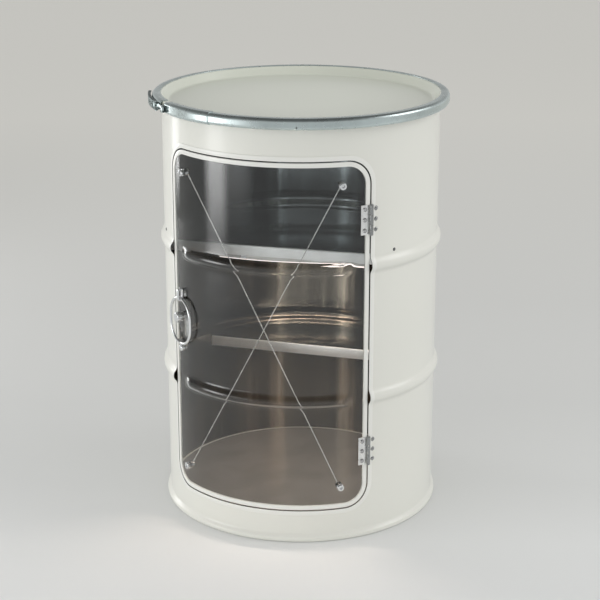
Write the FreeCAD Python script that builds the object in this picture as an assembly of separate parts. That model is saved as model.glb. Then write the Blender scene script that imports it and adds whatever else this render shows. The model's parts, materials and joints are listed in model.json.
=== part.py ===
"""Oil drum bar cabinet: an open-head steel drum with a clear curved door, two shelves and a light bar.

Millimetres. The drum's axis is Z and it stands on z = 0. The door faces -Y.
Azimuths are in degrees, counted from -Y towards +X, so the hinges are at a positive azimuth.
"""
import FreeCAD, Part
import math
import os
from FreeCAD import Vector

# Drum
drum_inner_radius = 285.75
drum_wall = 1.2
wall_top = 870.0
hoop_heights = (304.0, 582.0)
hoop_rise = 8.0
hoop_crown_radius = 15.0
hoop_fillet_radius = 14.0
curl_radius = 6.0

# Foot: double seam and bottom plate
chime_rise = 7.0
chime_height = 13.0
chime_round = 3.0
chime_inner_width = 5.4
floor_height = 19.2
floor_plate = 1.2

# Lid, gasket and locking ring
lid_sheet = 1.5
lid_recess_depth = 18.0
lid_corner_width = 9.25
lid_wall_lean = 1.8
lid_wall_clearance = 0.5
lid_skirt_drop = 11.0
lid_rim_chamfer = 2.5
lid_rim_clearance = 1.5
gasket_inner_inset = 2.5
gasket_outer_inset = 0.5
gasket_wrap = 3.0
ring_rim_clearance = 3.75
ring_height = 22.5
ring_sheet = 1.5
ring_corner_radius = 7.5
ring_top_lip_inset = 3.0
ring_low_lip_inset = 2.0
ring_gap_width = 18.0
ring_hole_azimuth = 16.3
ring_hole_radius = 1.6
ring_hole_rise = 6.0
strap_sheet = 1.2
strap_start_azimuth = -40.5
strap_end_azimuth = -18.0

# Locking lever on the ring
lever_pivot_azimuth = -50.0
lever_pivot_standoff = 5.2
lever_sheet = 1.6
lever_length = 125.0
lever_eye_radius = 3.6
lever_web_start = 18.0
lever_hole_radius = 3.5
lever_hole_positions = (32.0, 50.0, 100.0)
link_pivot_azimuth = -43.5
link_sheet = 1.3
link_clearance = 0.3
link_hook = 1.6
link_hook_gap = 0.6
toggle_offset = 13.0
latch_pin_radius = 1.9
latch_pin_head = 1.0
latch_fit = 0.08
lug_height = 13.0
lug_sheet = 2.0
lug_base_sheet = 1.0
lug_width = 13.0
lug_axial_gap = 0.4

# Window in the drum and the gap round the door
window_half_angle = 46.0
window_bottom = 69.0
window_top = 797.0
window_corner_radius = 50.0
door_gap = 3.0
edge_band_sheet = 1.0
edge_band_width = 9.5

# Door
pane_thickness = 3.0
pane_hoop_half_angle = 39.0
trim_sheet = 1.0
trim_leg = 9.0

# Hinges
hinge_end_inset = 120.5
hinge_height = 60.0
hinge_leaf = 1.2
hinge_leaf_width = 17.0
hinge_knuckle_radius = 3.75
hinge_pin_radius = 2.0
hinge_fit = 0.05
hinge_axial_gap = 0.3
hinge_knuckle_clearance = 0.4
hinge_neck_clearance = 0.25
hinge_neck = 1.1
hinge_neck_reach = 1.0
hinge_tab_overlap = 1.0
hinge_pin_head = 1.2
hinge_pin_head_inset = 0.5
body_leaf_width = 19.0
hinge_rivet_pitch = 21.3
body_rivet_offset = 12.0
body_rivet_head_radius = 5.0
door_rivet_offset = 13.4
door_rivet_head_radius = 4.6
rivet_tail_radius = 2.8
rivet_shank_radius = 1.6
rivet_head_height = 2.6
rivet_tail_height = 1.0
rivet_fit = 0.05
rivet_tail_clearance = 0.05

# Wire cross
stud_inset = 48.0
stud_left_azimuth = -37.0
stud_right_azimuth = 34.0
stud_head_radius = 7.0
stud_head_length = 8.0
stud_shank_radius = 3.0
stud_fit = 0.1
stud_nut_length = 9.0
stud_round = 1.5
wire_radius = 1.0
wire_fit = 0.05
wire_depth = 6.0
wire_spacing = 2.9

# Pull ring and latch on the door
latch_azimuth = -39.5
latch_above_middle = 1.5
pull_ring_rod_radius = 3.0
pull_ring_half_width = 40.0
pull_ring_height = 97.5
pull_ring_rise = 40.0
pull_ring_standoff = 6.2
eye_hole_radius = 3.4
eye_slot_length = 14.0
eye_wall = 3.2
eye_width = 7.0
bolt_shank_radius = 3.0
nut_radius = 5.5
nut_height = 4.5
nut_proud = 1.0
nut_seat_clearance = 0.1
rest_radius = 7.0
rest_length = 9.0
rest_clearance = 0.3
knob_radius = 10.5
knob_length = 15.0
knob_round = 2.5
knob_groove_count = 12
knob_groove_radius = 1.6
knob_shaft_radius = 3.0
knob_fit = 0.06
knob_gap = 0.3
shaft_proud = 1.0
bush_flange_radius = 9.6
bush_flange = 2.2
bush_radius = 5.0
tongue_sheet = 2.5
tongue_width = 14.0
tongue_length = 46.0
tongue_depth = 4.9

# Keeper strip behind the latch side of the opening
keeper_sheet = 1.5
keeper_width = 16.0
keeper_hoop_margin = 16.0
keeper_rivet_margin = 10.0
keeper_edge_inset = 7.5
keeper_seat_clearance = 0.1
small_rivet_head_radius = 3.6
small_rivet_head_height = 1.8

# Shelves
shelf_sheet = 1.5
shelf_lip_height = 23.0
shelf_lip_return = 9.0
shelf_nose_radius = 3.5
shelf_wall_clearance = 0.6
top_shelf_height = 557.0
top_shelf_front = 46.0
top_shelf_turn = 3.5
middle_shelf_height = 279.5
middle_shelf_front = -135.0
middle_shelf_turn = 2.0
bracket_sheet = 1.6
bracket_leg = 22.0
bracket_span = 34.0
bracket_rivet_drop = 11.0
top_bracket_azimuths = (92.0, 150.0)
middle_bracket_azimuths = (138.0, 180.0)
plug_azimuth = 58.0
plug_rise = 24.0

# Light bar under the top shelf's lip
led_length = 318.0
led_shift = -8.0
led_width = 12.0
led_channel_height = 6.0
led_channel_sheet = 1.2
led_diffuser_drop = 3.6
led_diffuser_edge = 0.1
led_end_cap = 2.0
led_setback = 3.0
led_clip_width = 14.0
led_clip_sheet = 0.8
led_clip_inset = 45.0

# Derived sizes
drum_outer_radius = drum_inner_radius + drum_wall
hoop_span = math.sqrt(2 * hoop_rise * (hoop_crown_radius + hoop_fillet_radius) - hoop_rise ** 2)
curl_centre_radius = drum_inner_radius + curl_radius
curl_top = wall_top + curl_radius
ring_bottom = wall_top - curl_radius - ring_sheet
ring_top = ring_bottom + ring_height
ring_gap_azimuth = (lever_pivot_azimuth + link_pivot_azimuth) / 2
lid_rim_top = ring_top - ring_sheet
lid_rim_under = lid_rim_top - lid_sheet
lid_rim_outer = curl_centre_radius + curl_radius + lid_rim_clearance + lid_sheet
ring_outer_radius = lid_rim_outer + ring_rim_clearance + ring_sheet
lid_floor_top = ring_top - lid_recess_depth
lid_wall_radius = drum_inner_radius - lid_wall_clearance
lid_floor_radius = lid_wall_radius - lid_corner_width
lever_middle = (ring_bottom + ring_top) / 2
lever_pivot_radius = ring_outer_radius + lever_pivot_standoff
lever_inside = lug_height / 2 + lug_axial_gap
lever_outside = lever_inside + lever_sheet
lever_front_radius = lever_pivot_radius + latch_pin_radius + lug_base_sheet
link_half_height = lug_height / 2 - lug_sheet - link_clearance
link_bar_radius = ring_outer_radius + lug_base_sheet + link_clearance
pane_outer_radius = drum_outer_radius
pane_inner_radius = pane_outer_radius - pane_thickness
trim_outer_radius = pane_outer_radius + trim_sheet
trim_inner_radius = pane_inner_radius - trim_sheet
hinge_axis_radius = trim_outer_radius + hinge_knuckle_clearance + hinge_knuckle_radius
hinge_heights = (window_bottom + hinge_end_inset, window_top - hinge_end_inset)
hinge_third = hinge_height / 3
far_radius = 1.2 * ring_outer_radius
deep_radius = 0.5 * drum_inner_radius
wall_foot = 2 * floor_plate
full_height = 1.1 * ring_top
stud_azimuths = (stud_left_azimuth, stud_right_azimuth)
stud_heights = (window_bottom + stud_inset, window_top - stud_inset)
latch_height = (hoop_heights[0] + hoop_heights[1]) / 2 + latch_above_middle
pull_ring_top = latch_height + pull_ring_rise
pull_ring_radius = pane_outer_radius + pull_ring_standoff
keeper_half_height = (hoop_heights[1] - hoop_heights[0]) / 2 - hoop_span - keeper_hoop_margin
shelf_radius = drum_inner_radius - shelf_wall_clearance

quarter_turn = 90.0
half_turn = 2 * quarter_turn
full_turn = 2 * half_turn
hair = 1e-3
cut_past = 1.0
hex_sides = 6
Z = Vector(0, 0, 1)
ORIGIN = Vector(0, 0, 0)


def at(radius, azimuth, z):
    """Point at a radius and azimuth round the drum's axis."""
    a = math.radians(azimuth)
    return Vector(radius * math.sin(a), -radius * math.cos(a), z)


def outward(azimuth):
    """Unit vector that points away from the axis."""
    return at(1.0, azimuth, 0)


def turned(shape, azimuth):
    """Copy of a shape that was made facing -Y, turned to an azimuth."""
    copy = shape.copy()
    copy.rotate(ORIGIN, Z, azimuth)
    return copy


def core(radius):
    """Full-height cylinder round the drum's axis."""
    return Part.makeCylinder(radius, full_height, ORIGIN, Z)


def angle_of(arc_length, radius):
    """Degrees that an arc length covers at a radius."""
    return math.degrees(arc_length / radius)


def line(a, b):
    return Part.LineSegment(a, b).toShape()


def arc(a, b, c):
    return Part.Arc(a, b, c).toShape()


def rz(radius, z):
    """Point of a section drawn on the XZ plane, X being the radius."""
    return Vector(radius, 0, z)


def arc_point(centre, radius, degrees):
    """Point of an arc in a section; 0 degrees is outward and 90 is up."""
    a = math.radians(degrees)
    return rz(centre.x + radius * math.cos(a), centre.z + radius * math.sin(a))


def section_arc(centre, radius, start, end):
    middle = (start + end) / 2
    first = arc_point(centre, radius, start)
    last = arc_point(centre, radius, end)
    return arc(first, arc_point(centre, radius, middle), last)


def polygon(points):
    """Closed face with straight sides."""
    closed = list(points) + [points[0]]
    return Part.Face(Part.makePolygon(closed))


def other_face(points, thickness):
    """Section points of a bent sheet's other face, to the right of the way of travel."""
    normals = []
    for a, b in zip(points, points[1:]):
        run = b - a
        normals.append(Vector(run.z, 0, -run.x) / run.Length)
    moved = [points[0] + normals[0] * thickness]
    for point, before, after in zip(points[1:], normals, normals[1:]):
        mitre = (before + after) / (before + after).Length
        moved.append(point + mitre * (thickness / mitre.dot(after)))
    moved.append(points[-1] + normals[-1] * thickness)
    return moved


def bent_sheet(points, thickness):
    """Section of a bent sheet from the points of one face."""
    return polygon(points + other_face(points, thickness)[::-1])


def revolved(face, start=-half_turn, end=half_turn):
    """Section face swept round the axis from one azimuth to another."""
    span = end - start
    placed = face.copy()
    placed.rotate(ORIGIN, Z, start - quarter_turn)
    if span >= full_turn:
        return placed.revolve(ORIGIN, Z, full_turn)
    return placed.revolve(ORIGIN, Z, span)


def ring_box(r_in, r_out, z_low, z_high, start=-half_turn, end=half_turn):
    """Plain ring, or part of one, of rectangular section."""
    corners = [rz(r_in, z_low), rz(r_out, z_low), rz(r_out, z_high), rz(r_in, z_high)]
    return revolved(polygon(corners), start, end)


def radial_cylinder(radius, azimuth, z, r_from, r_to):
    """Cylinder whose axis points away from the drum."""
    return Part.makeCylinder(radius, r_to - r_from, at(r_from, azimuth, z), outward(azimuth))


def domed_head(radius, height, azimuth, z, r_base, inward=False):
    """Low domed rivet head that sits at r_base."""
    sphere_radius = (radius ** 2 + height ** 2) / (2 * height)
    sign = -1.0 if inward else 1.0
    centre = at(r_base + sign * (height - sphere_radius), azimuth, z)
    ball = Part.makeSphere(sphere_radius, centre)
    cutter = Part.makeCylinder(radius, 2 * height, at(r_base, azimuth, z), outward(azimuth) * sign)
    return ball.common(cutter)


def largest(shape):
    """The one solid of a boolean result."""
    solids = sorted(shape.Solids, key=lambda s: s.Volume)
    return solids[-1]


def group(solids):
    """Separate solids kept in one node."""
    flat = []
    for s in solids:
        flat.extend(s.Solids)
    return Part.makeCompound(flat)


# Wall section with its hoops


def hoop_edges(base, growth, height):
    """Edges of one hoop at a base radius; growth is the distance of this surface from the drum's outside."""
    crown = hoop_crown_radius + growth
    fillet = hoop_fillet_radius - growth
    fillet_centre_low = rz(base + fillet, height - hoop_span)
    fillet_centre_high = rz(base + fillet, height + hoop_span)
    crown_centre = rz(base + hoop_rise - crown, height)
    run = crown_centre - fillet_centre_low
    slope = math.degrees(math.atan2(run.z, run.x))
    low_fillet = section_arc(fillet_centre_low, fillet, half_turn, slope)
    crown_arc = section_arc(crown_centre, crown, slope - half_turn, half_turn - slope)
    high_fillet = section_arc(fillet_centre_high, fillet, full_turn - slope, half_turn)
    return [low_fillet, crown_arc, high_fillet]


def hooped_line(base, growth, z_low, z_high):
    """Edges up one side of the wall, from z_low to z_high."""
    edges = []
    z = z_low
    for height in hoop_heights:
        edges.append(line(rz(base, z), rz(base, height - hoop_span)))
        edges.extend(hoop_edges(base, growth, height))
        z = height + hoop_span
    edges.append(line(rz(base, z), rz(base, z_high)))
    return edges


def hooped_band(growth_in, growth_out, z_low, z_high):
    """Ring that follows the drum's hoops, between two distances from its outside."""
    r_in = drum_outer_radius + growth_in
    r_out = drum_outer_radius + growth_out
    edges = hooped_line(r_out, growth_out, z_low, z_high) + hooped_line(r_in, growth_in, z_low, z_high)
    edges.append(line(rz(r_in, z_low), rz(r_out, z_low)))
    edges.append(line(rz(r_in, z_high), rz(r_out, z_high)))
    wire = Part.Wire(Part.__sortEdges__(edges))
    return revolved(Part.Face(wire))


# Window outline, cut along the radius


def window_side(grow):
    """Slab on the +X side whose two far corners are round."""
    radius = window_corner_radius + grow
    z_low = window_bottom - grow
    z_high = window_top + grow
    depth = far_radius - deep_radius
    box = Part.makeBox(2 * radius, depth, z_high - z_low, Vector(-radius, -far_radius, z_low))
    edges = []
    for e in box.Edges:
        middle = e.CenterOfMass
        along_depth = abs(e.Length - depth) < hair
        if along_depth and middle.x > 0:
            edges.append(e)
    rounded = box.makeFillet(radius - hair, edges)
    half = math.degrees(math.asin(window_corner_radius / drum_outer_radius))
    return turned(rounded, window_half_angle - half)


def window_prism(grow):
    """The window's outline as a solid; grow moves its edge outward all round."""
    half = math.degrees(math.asin(window_corner_radius / drum_outer_radius))
    flat_half = window_half_angle - half
    middle = ring_box(deep_radius, far_radius, window_bottom - grow, window_top + grow, -flat_half, flat_half)
    right = window_side(grow)
    left = right.mirror(ORIGIN, Vector(1, 0, 0))
    return middle.fuse([right, left]).removeSplitter()


# Drum


def drum_section():
    """Wall with hoops, and the curl at its top."""
    curl_outer = curl_radius
    curl_inner = curl_radius - drum_wall
    centre = rz(curl_centre_radius, wall_top)
    edges = hooped_line(drum_outer_radius, 0.0, wall_foot, wall_top)
    edges += hooped_line(drum_inner_radius, -drum_wall, wall_foot, wall_top)
    edges.append(line(rz(drum_inner_radius, wall_foot), rz(drum_outer_radius, wall_foot)))
    edges.append(section_arc(centre, curl_outer, half_turn, -quarter_turn))
    edges.append(section_arc(centre, curl_inner, half_turn, -quarter_turn))
    inner_end = arc_point(centre, curl_inner, -quarter_turn)
    outer_end = arc_point(centre, curl_outer, -quarter_turn)
    edges.append(line(inner_end, outer_end))
    return Part.Face(Part.Wire(Part.__sortEdges__(edges)))


def hinge_azimuth_at(arc_length):
    """Azimuth of a point beside the hinge line; positive is on the drum's side of the gap."""
    return window_half_angle + angle_of(arc_length, drum_outer_radius)


def hinge_rivet_heights():
    heights = []
    for middle in hinge_heights:
        for step in (-1, 0, 1):
            heights.append(middle + step * hinge_rivet_pitch)
    return heights


def keeper_azimuth():
    return -window_half_angle - angle_of(keeper_edge_inset + keeper_width / 2, drum_outer_radius)


def keeper_rivet_heights():
    half_spacing = keeper_half_height - keeper_rivet_margin
    return (latch_height - half_spacing, latch_height + half_spacing)


def both_sides(azimuths, turn):
    """Azimuths to each side of a turned shelf's middle, with one at the back kept single."""
    sides = []
    for azimuth in azimuths:
        sides.append(turn + azimuth)
        if azimuth < half_turn:
            sides.append(turn - azimuth)
    return sides


def top_bracket_places():
    """Azimuth and rivet height of each bracket under the top shelf."""
    rivet_height = top_shelf_height - shelf_sheet - bracket_rivet_drop
    return [(azimuth, rivet_height) for azimuth in both_sides(top_bracket_azimuths, top_shelf_turn)]


def middle_bracket_places():
    rivet_height = middle_shelf_height - shelf_sheet - bracket_rivet_drop
    return [(azimuth, rivet_height) for azimuth in both_sides(middle_bracket_azimuths, middle_shelf_turn)]


def plug_places():
    """Two holes beside the window, above the upper hoop, that rivets close."""
    height = hoop_heights[1] + plug_rise
    return [(-plug_azimuth, height), (plug_azimuth, height)]


def wall_rivet_places():
    """Every small rivet through the wall that isn't a hinge rivet."""
    places = [(keeper_azimuth(), z) for z in keeper_rivet_heights()]
    return places + top_bracket_places() + middle_bracket_places() + plug_places()


def drum_shell():
    wall = revolved(drum_section())
    wall = wall.cut(window_prism(door_gap / 2 + edge_band_sheet))
    holes = []
    for z in hinge_rivet_heights():
        azimuth = hinge_azimuth_at(body_rivet_offset)
        holes.append(radial_cylinder(rivet_shank_radius + rivet_fit, azimuth, z, deep_radius, far_radius))
    for azimuth, z in wall_rivet_places():
        holes.append(radial_cylinder(rivet_shank_radius + rivet_fit, azimuth, z, deep_radius, far_radius))
    return largest(wall.cut(holes))


def bottom_chime():
    """Rolled seam: outside rim, inside rim and the fold between them."""
    r_out = drum_outer_radius + chime_rise
    r_in = drum_inner_radius - chime_inner_width
    points = [
        rz(r_in, 0), rz(r_out, 0), rz(r_out, chime_height), rz(drum_outer_radius, chime_height),
        rz(drum_outer_radius, wall_foot), rz(drum_inner_radius, wall_foot),
        rz(drum_inner_radius, floor_height), rz(r_in, floor_height),
    ]
    seam = revolved(polygon(points))
    edges = []
    for e in seam.Edges:
        box = e.BoundBox
        on_outside = abs(box.XMax - r_out) < hair
        if on_outside and box.ZLength < hair:
            edges.append(e)
    return seam.makeFillet(chime_round, edges)


def drum_bottom():
    """Bottom plate with its flange turned down into the seam."""
    r_out = drum_inner_radius - chime_inner_width
    under = floor_height - floor_plate
    points = [
        rz(0, under), rz(r_out - floor_plate, under), rz(r_out - floor_plate, floor_plate),
        rz(r_out, floor_plate), rz(r_out, floor_height), rz(0, floor_height),
    ]
    return revolved(polygon(points))


# Lid, gasket and locking ring


def lid():
    """Pressed cover: flat recessed floor, sloped wall, and a rim that turns down over the curl."""
    face = [
        rz(0, lid_floor_top),
        rz(lid_floor_radius, lid_floor_top),
        rz(lid_wall_radius - lid_wall_lean, curl_top),
        rz(lid_wall_radius + lid_sheet, lid_rim_top),
        rz(lid_rim_outer - lid_rim_chamfer, lid_rim_top),
        rz(lid_rim_outer, lid_rim_top - lid_rim_chamfer),
        rz(lid_rim_outer, lid_rim_top - lid_skirt_drop),
    ]
    return revolved(bent_sheet(face, lid_sheet))


def lid_gasket():
    """Rubber ring pressed between the curl and the lid."""
    r_in = drum_inner_radius + gasket_inner_inset
    r_out = curl_centre_radius + curl_radius - gasket_outer_inset
    body = ring_box(r_in, r_out, curl_top - gasket_wrap, lid_rim_under)
    circle = Part.makeCircle(curl_radius, rz(curl_centre_radius, wall_top), Vector(0, 1, 0))
    curl = revolved(Part.Face(Part.Wire(circle)))
    return largest(body.cut(curl))


def ring_section(growth, thickness):
    """Channel section open towards the drum; growth moves its outer face outward."""
    r_out = ring_outer_radius + growth
    low = ring_bottom - growth
    high = ring_top + growth
    corner = ring_corner_radius + growth
    inner_corner = corner - thickness
    top_lip = lid_wall_radius + ring_top_lip_inset
    low_lip = curl_centre_radius - ring_low_lip_inset
    c_low = rz(r_out - corner, low + corner)
    c_high = rz(r_out - corner, high - corner)
    edges = [
        line(rz(low_lip, low), rz(c_low.x, low)),
        section_arc(c_low, corner, -quarter_turn, 0.0),
        line(rz(r_out, c_low.z), rz(r_out, c_high.z)),
        section_arc(c_high, corner, 0.0, quarter_turn),
        line(rz(c_high.x, high), rz(top_lip, high)),
        line(rz(top_lip, high), rz(top_lip, high - thickness)),
        line(rz(top_lip, high - thickness), rz(c_high.x, high - thickness)),
        section_arc(c_high, inner_corner, quarter_turn, 0.0),
        line(rz(r_out - thickness, c_high.z), rz(r_out - thickness, c_low.z)),
        section_arc(c_low, inner_corner, 0.0, -quarter_turn),
        line(rz(c_low.x, low + thickness), rz(low_lip, low + thickness)),
        line(rz(low_lip, low + thickness), rz(low_lip, low)),
    ]
    return Part.Face(Part.Wire(Part.__sortEdges__(edges)))


def ring_envelope():
    """Locking ring's outer form, filled up."""
    block = ring_box(deep_radius, ring_outer_radius, ring_bottom, ring_top)
    rims = []
    for e in block.Edges:
        box = e.BoundBox
        if box.ZLength < hair and box.XMax > ring_outer_radius - hair:
            rims.append(e)
    return block.makeFillet(ring_corner_radius, rims)


def locking_ring():
    """Split channel ring, with a small hole for a seal wire."""
    half = angle_of(ring_gap_width / 2, ring_outer_radius)
    start = ring_gap_azimuth + half
    end = ring_gap_azimuth - half + full_turn
    ring = revolved(ring_section(0.0, ring_sheet), start, end)
    height = ring_bottom + ring_hole_rise
    hole = radial_cylinder(ring_hole_radius, ring_hole_azimuth, height, deep_radius, far_radius)
    return largest(ring.cut(hole))


def ring_strap():
    """Sleeve over the ring, beside the link's lug."""
    return revolved(ring_section(strap_sheet, strap_sheet), strap_start_azimuth, strap_end_azimuth)


# Locking lever. Its pieces are drawn facing -Y and turned to their place on the ring.


def latch_cylinder(radius, z_low, z_high, azimuth):
    """Upright cylinder on the circle of the lever's pivots."""
    base = at(lever_pivot_radius, azimuth, lever_middle + z_low)
    return Part.makeCylinder(radius, z_high - z_low, base, Z)


def lug(azimuth):
    """Bracket welded to the ring: a base plate that follows it, and an ear above and below."""
    half = lug_height / 2
    reach = lever_front_radius - deep_radius
    plate_reach = ring_outer_radius + lug_base_sheet - deep_radius
    low = lever_middle - half
    x = -lug_width / 2
    block = Part.makeBox(lug_width, plate_reach, lug_height, Vector(x, -deep_radius - plate_reach, low))
    ears = []
    for z in (low, low + lug_height - lug_sheet):
        ears.append(Part.makeBox(lug_width, reach, lug_sheet, Vector(x, -deep_radius - reach, z)))
    body = turned(block.fuse(ears).removeSplitter().cut(ring_envelope()), azimuth)
    body = largest(body.cut(core(ring_outer_radius - ring_corner_radius)))
    return largest(body.cut(latch_cylinder(latch_pin_radius + latch_fit, -lug_height, lug_height, azimuth)))


def lever_lug():
    return lug(lever_pivot_azimuth)


def link_lug():
    return lug(link_pivot_azimuth)


def lever_pins():
    """A short headed pin through each ear and flange, so that the link can pass between them."""
    inner = lug_height / 2 - lug_sheet
    outer = lever_outside + latch_fit
    head_radius = latch_pin_radius + latch_pin_head
    pins = []
    for side in (-1, 1):
        shank = latch_cylinder(latch_pin_radius, *sorted((side * inner, side * outer)), lever_pivot_azimuth)
        span = sorted((side * outer, side * (outer + latch_pin_head)))
        pins.append(shank.fuse(latch_cylinder(head_radius, *span, lever_pivot_azimuth)))
    return group(pins)


def link_pin():
    """Pin through both ears, headed at each end."""
    half = lug_height / 2
    head_radius = latch_pin_radius + latch_pin_head
    shank = latch_cylinder(latch_pin_radius, -half, half, link_pivot_azimuth)
    heads = []
    for span in ((-half - latch_pin_head, -half), (half, half + latch_pin_head)):
        heads.append(latch_cylinder(head_radius, *span, link_pivot_azimuth))
    return shank.fuse(heads).removeSplitter()


def toggle_azimuth():
    return lever_pivot_azimuth - angle_of(toggle_offset, lever_pivot_radius)


def lever():
    """Channel: two flanges over the lug's ears, and a web outside that starts past the toggle pin."""
    back = 2 * lever_pivot_radius - lever_front_radius
    front = lever_front_radius
    tail = lever_pivot_azimuth - angle_of(lever_length, front)
    web_start = lever_pivot_azimuth - angle_of(lever_web_start, front)
    low = lever_middle - lever_outside
    high = lever_middle + lever_inside
    pieces = []
    for z in (low, high):
        pieces.append(ring_box(back, front, z, z + lever_sheet, tail, lever_pivot_azimuth))
        span = (z - lever_middle, z - lever_middle + lever_sheet)
        pieces.append(latch_cylinder(lever_eye_radius, *span, lever_pivot_azimuth))
    web = ring_box(front - lever_sheet, front, low, lever_middle + lever_outside, tail, web_start)
    body = web.fuse(pieces).removeSplitter()
    cutters = []
    for azimuth in (lever_pivot_azimuth, toggle_azimuth()):
        cutters.append(latch_cylinder(latch_pin_radius + latch_fit, -lug_height, lug_height, azimuth))
    for position in lever_hole_positions:
        azimuth = lever_pivot_azimuth - angle_of(position, front)
        cutters.append(radial_cylinder(lever_hole_radius, azimuth, lever_middle, back, far_radius))
    return largest(body.cut(cutters))


def toggle_pin():
    """Pin across the lever that bears on the link's hook."""
    return latch_cylinder(latch_pin_radius, -lever_outside, lever_outside, toggle_azimuth())


def link():
    """Flat link: an eye on the link pin, a bar between the lever's ears and a hook past the toggle pin."""
    low = lever_middle - link_half_height
    high = lever_middle + link_half_height
    bar_outer = link_bar_radius + link_sheet
    hook_gap = latch_pin_radius + link_hook_gap
    hook_start = toggle_azimuth() - angle_of(hook_gap, link_bar_radius)
    hook_end = hook_start - angle_of(link_hook, link_bar_radius)
    bar = ring_box(link_bar_radius, bar_outer, low, high, hook_end, link_pivot_azimuth)
    hook = ring_box(link_bar_radius, lever_pivot_radius + latch_pin_radius, low, high, hook_end, hook_start)
    span = (-link_half_height, link_half_height)
    eye = latch_cylinder(lever_eye_radius, *span, link_pivot_azimuth)
    body = bar.fuse([hook, eye]).removeSplitter()
    return largest(body.cut(latch_cylinder(latch_pin_radius + latch_fit, *span, link_pivot_azimuth)))


# Opening's edge band, keeper and rivets


def opening_trim():
    """Band on the outside of the wall round the window, turned in over the cut edge."""
    edge = door_gap / 2
    low = window_bottom - 2 * edge_band_width
    high = window_top + 2 * edge_band_width
    face_leg = hooped_band(0.0, edge_band_sheet, low, high)
    cut_leg = hooped_band(-drum_wall, 0.0, low, high)
    inside = window_prism(edge)
    face_leg = face_leg.common(window_prism(edge + edge_band_width)).cut(inside)
    cut_leg = cut_leg.common(window_prism(edge + edge_band_sheet)).cut(inside)
    band = face_leg.fuse(cut_leg)
    notches = []
    for z in hinge_rivet_heights():
        azimuth = hinge_azimuth_at(body_rivet_offset)
        radius = body_rivet_head_radius + 2 * rivet_fit
        notches.append(radial_cylinder(radius, azimuth, z, drum_outer_radius - drum_wall / 2, far_radius))
    return largest(band.cut(notches))


def rivet(azimuth, z, r_head, r_tail, head_radius, head_height):
    """Rivet with its domed head at r_head and its flat tail at r_tail."""
    r_seat = r_tail - rivet_tail_clearance
    shank = radial_cylinder(rivet_shank_radius, azimuth, z, r_seat, r_head)
    head = domed_head(head_radius, head_height, azimuth, z, r_head)
    tail = radial_cylinder(rivet_tail_radius, azimuth, z, r_seat - rivet_tail_height, r_seat)
    return shank.fuse([head, tail]).removeSplitter()


def hinge_body_rivets():
    rivets = []
    azimuth = hinge_azimuth_at(body_rivet_offset)
    for z in hinge_rivet_heights():
        tail = drum_inner_radius - hinge_leaf
        rivets.append(rivet(azimuth, z, drum_outer_radius, tail, body_rivet_head_radius, rivet_head_height))
    return group(rivets)


def keeper():
    """Strip riveted behind the latch side of the opening; the tongue turns behind its free edge."""
    azimuth = keeper_azimuth()
    half_width = angle_of(keeper_width / 2, drum_outer_radius)
    r_out = drum_inner_radius - keeper_seat_clearance
    r_in = r_out - keeper_sheet
    low = latch_height - keeper_half_height
    high = latch_height + keeper_half_height
    strip = ring_box(r_in, r_out, low, high, azimuth - half_width, azimuth + half_width)
    holes = []
    for z in keeper_rivet_heights():
        holes.append(radial_cylinder(rivet_shank_radius + rivet_fit, azimuth, z, deep_radius, far_radius))
    return largest(strip.cut(holes))


def small_rivet(azimuth, z, r_tail):
    """Small rivet through the wall and what lies behind it."""
    head = (small_rivet_head_radius, small_rivet_head_height)
    return rivet(azimuth, z, drum_outer_radius, r_tail, *head)


def keeper_rivets():
    tail = drum_inner_radius - keeper_seat_clearance - keeper_sheet
    return group([small_rivet(keeper_azimuth(), z, tail) for z in keeper_rivet_heights()])


def hole_plugs():
    return group([small_rivet(azimuth, z, drum_inner_radius) for azimuth, z in plug_places()])


# Shelves


def shelf(height, front, turn):
    """Folded sheet: flat top, round nose, lip turned down and back; cut to the drum's round wall."""
    low = height - shelf_lip_height
    nose = shelf_nose_radius
    inner_nose = nose - shelf_sheet
    back = -far_radius
    nose_centre = Vector(0, front - nose, height - nose)

    def yz(y, z):
        return Vector(0, y, z)

    def nose_point(radius, degrees):
        a = math.radians(degrees)
        return yz(nose_centre.y + radius * math.cos(a), nose_centre.z + radius * math.sin(a))

    inner_start = nose_point(inner_nose, 0)
    edges = [
        line(yz(back, height), yz(front - nose, height)),
        arc(nose_point(nose, quarter_turn), nose_point(nose, quarter_turn / 2), nose_point(nose, 0)),
        line(yz(front, height - nose), yz(front, low)),
        line(yz(front, low), yz(front - shelf_lip_return, low)),
        line(yz(front - shelf_lip_return, low), yz(front - shelf_lip_return, low + shelf_sheet)),
        line(yz(front - shelf_lip_return, low + shelf_sheet), yz(front - shelf_sheet, low + shelf_sheet)),
        line(yz(front - shelf_sheet, low + shelf_sheet), yz(front - shelf_sheet, height - nose)),
        arc(inner_start, nose_point(inner_nose, quarter_turn / 2), nose_point(inner_nose, quarter_turn)),
        line(yz(front - nose, height - shelf_sheet), yz(back, height - shelf_sheet)),
        line(yz(back, height - shelf_sheet), yz(back, height)),
    ]
    face = Part.Face(Part.Wire(Part.__sortEdges__(edges)))
    face.translate(Vector(-far_radius, 0, 0))
    folded = face.extrude(Vector(2 * far_radius, 0, 0)).mirror(ORIGIN, Vector(0, 1, 0))
    disc = Part.makeCylinder(shelf_radius, 2 * shelf_lip_height, Vector(0, 0, low - shelf_lip_height / 2), Z)
    return turned(largest(folded.common(disc)), turn)


def top_shelf():
    return shelf(top_shelf_height, top_shelf_front, top_shelf_turn)


def middle_shelf():
    return shelf(middle_shelf_height, middle_shelf_front, middle_shelf_turn)


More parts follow.
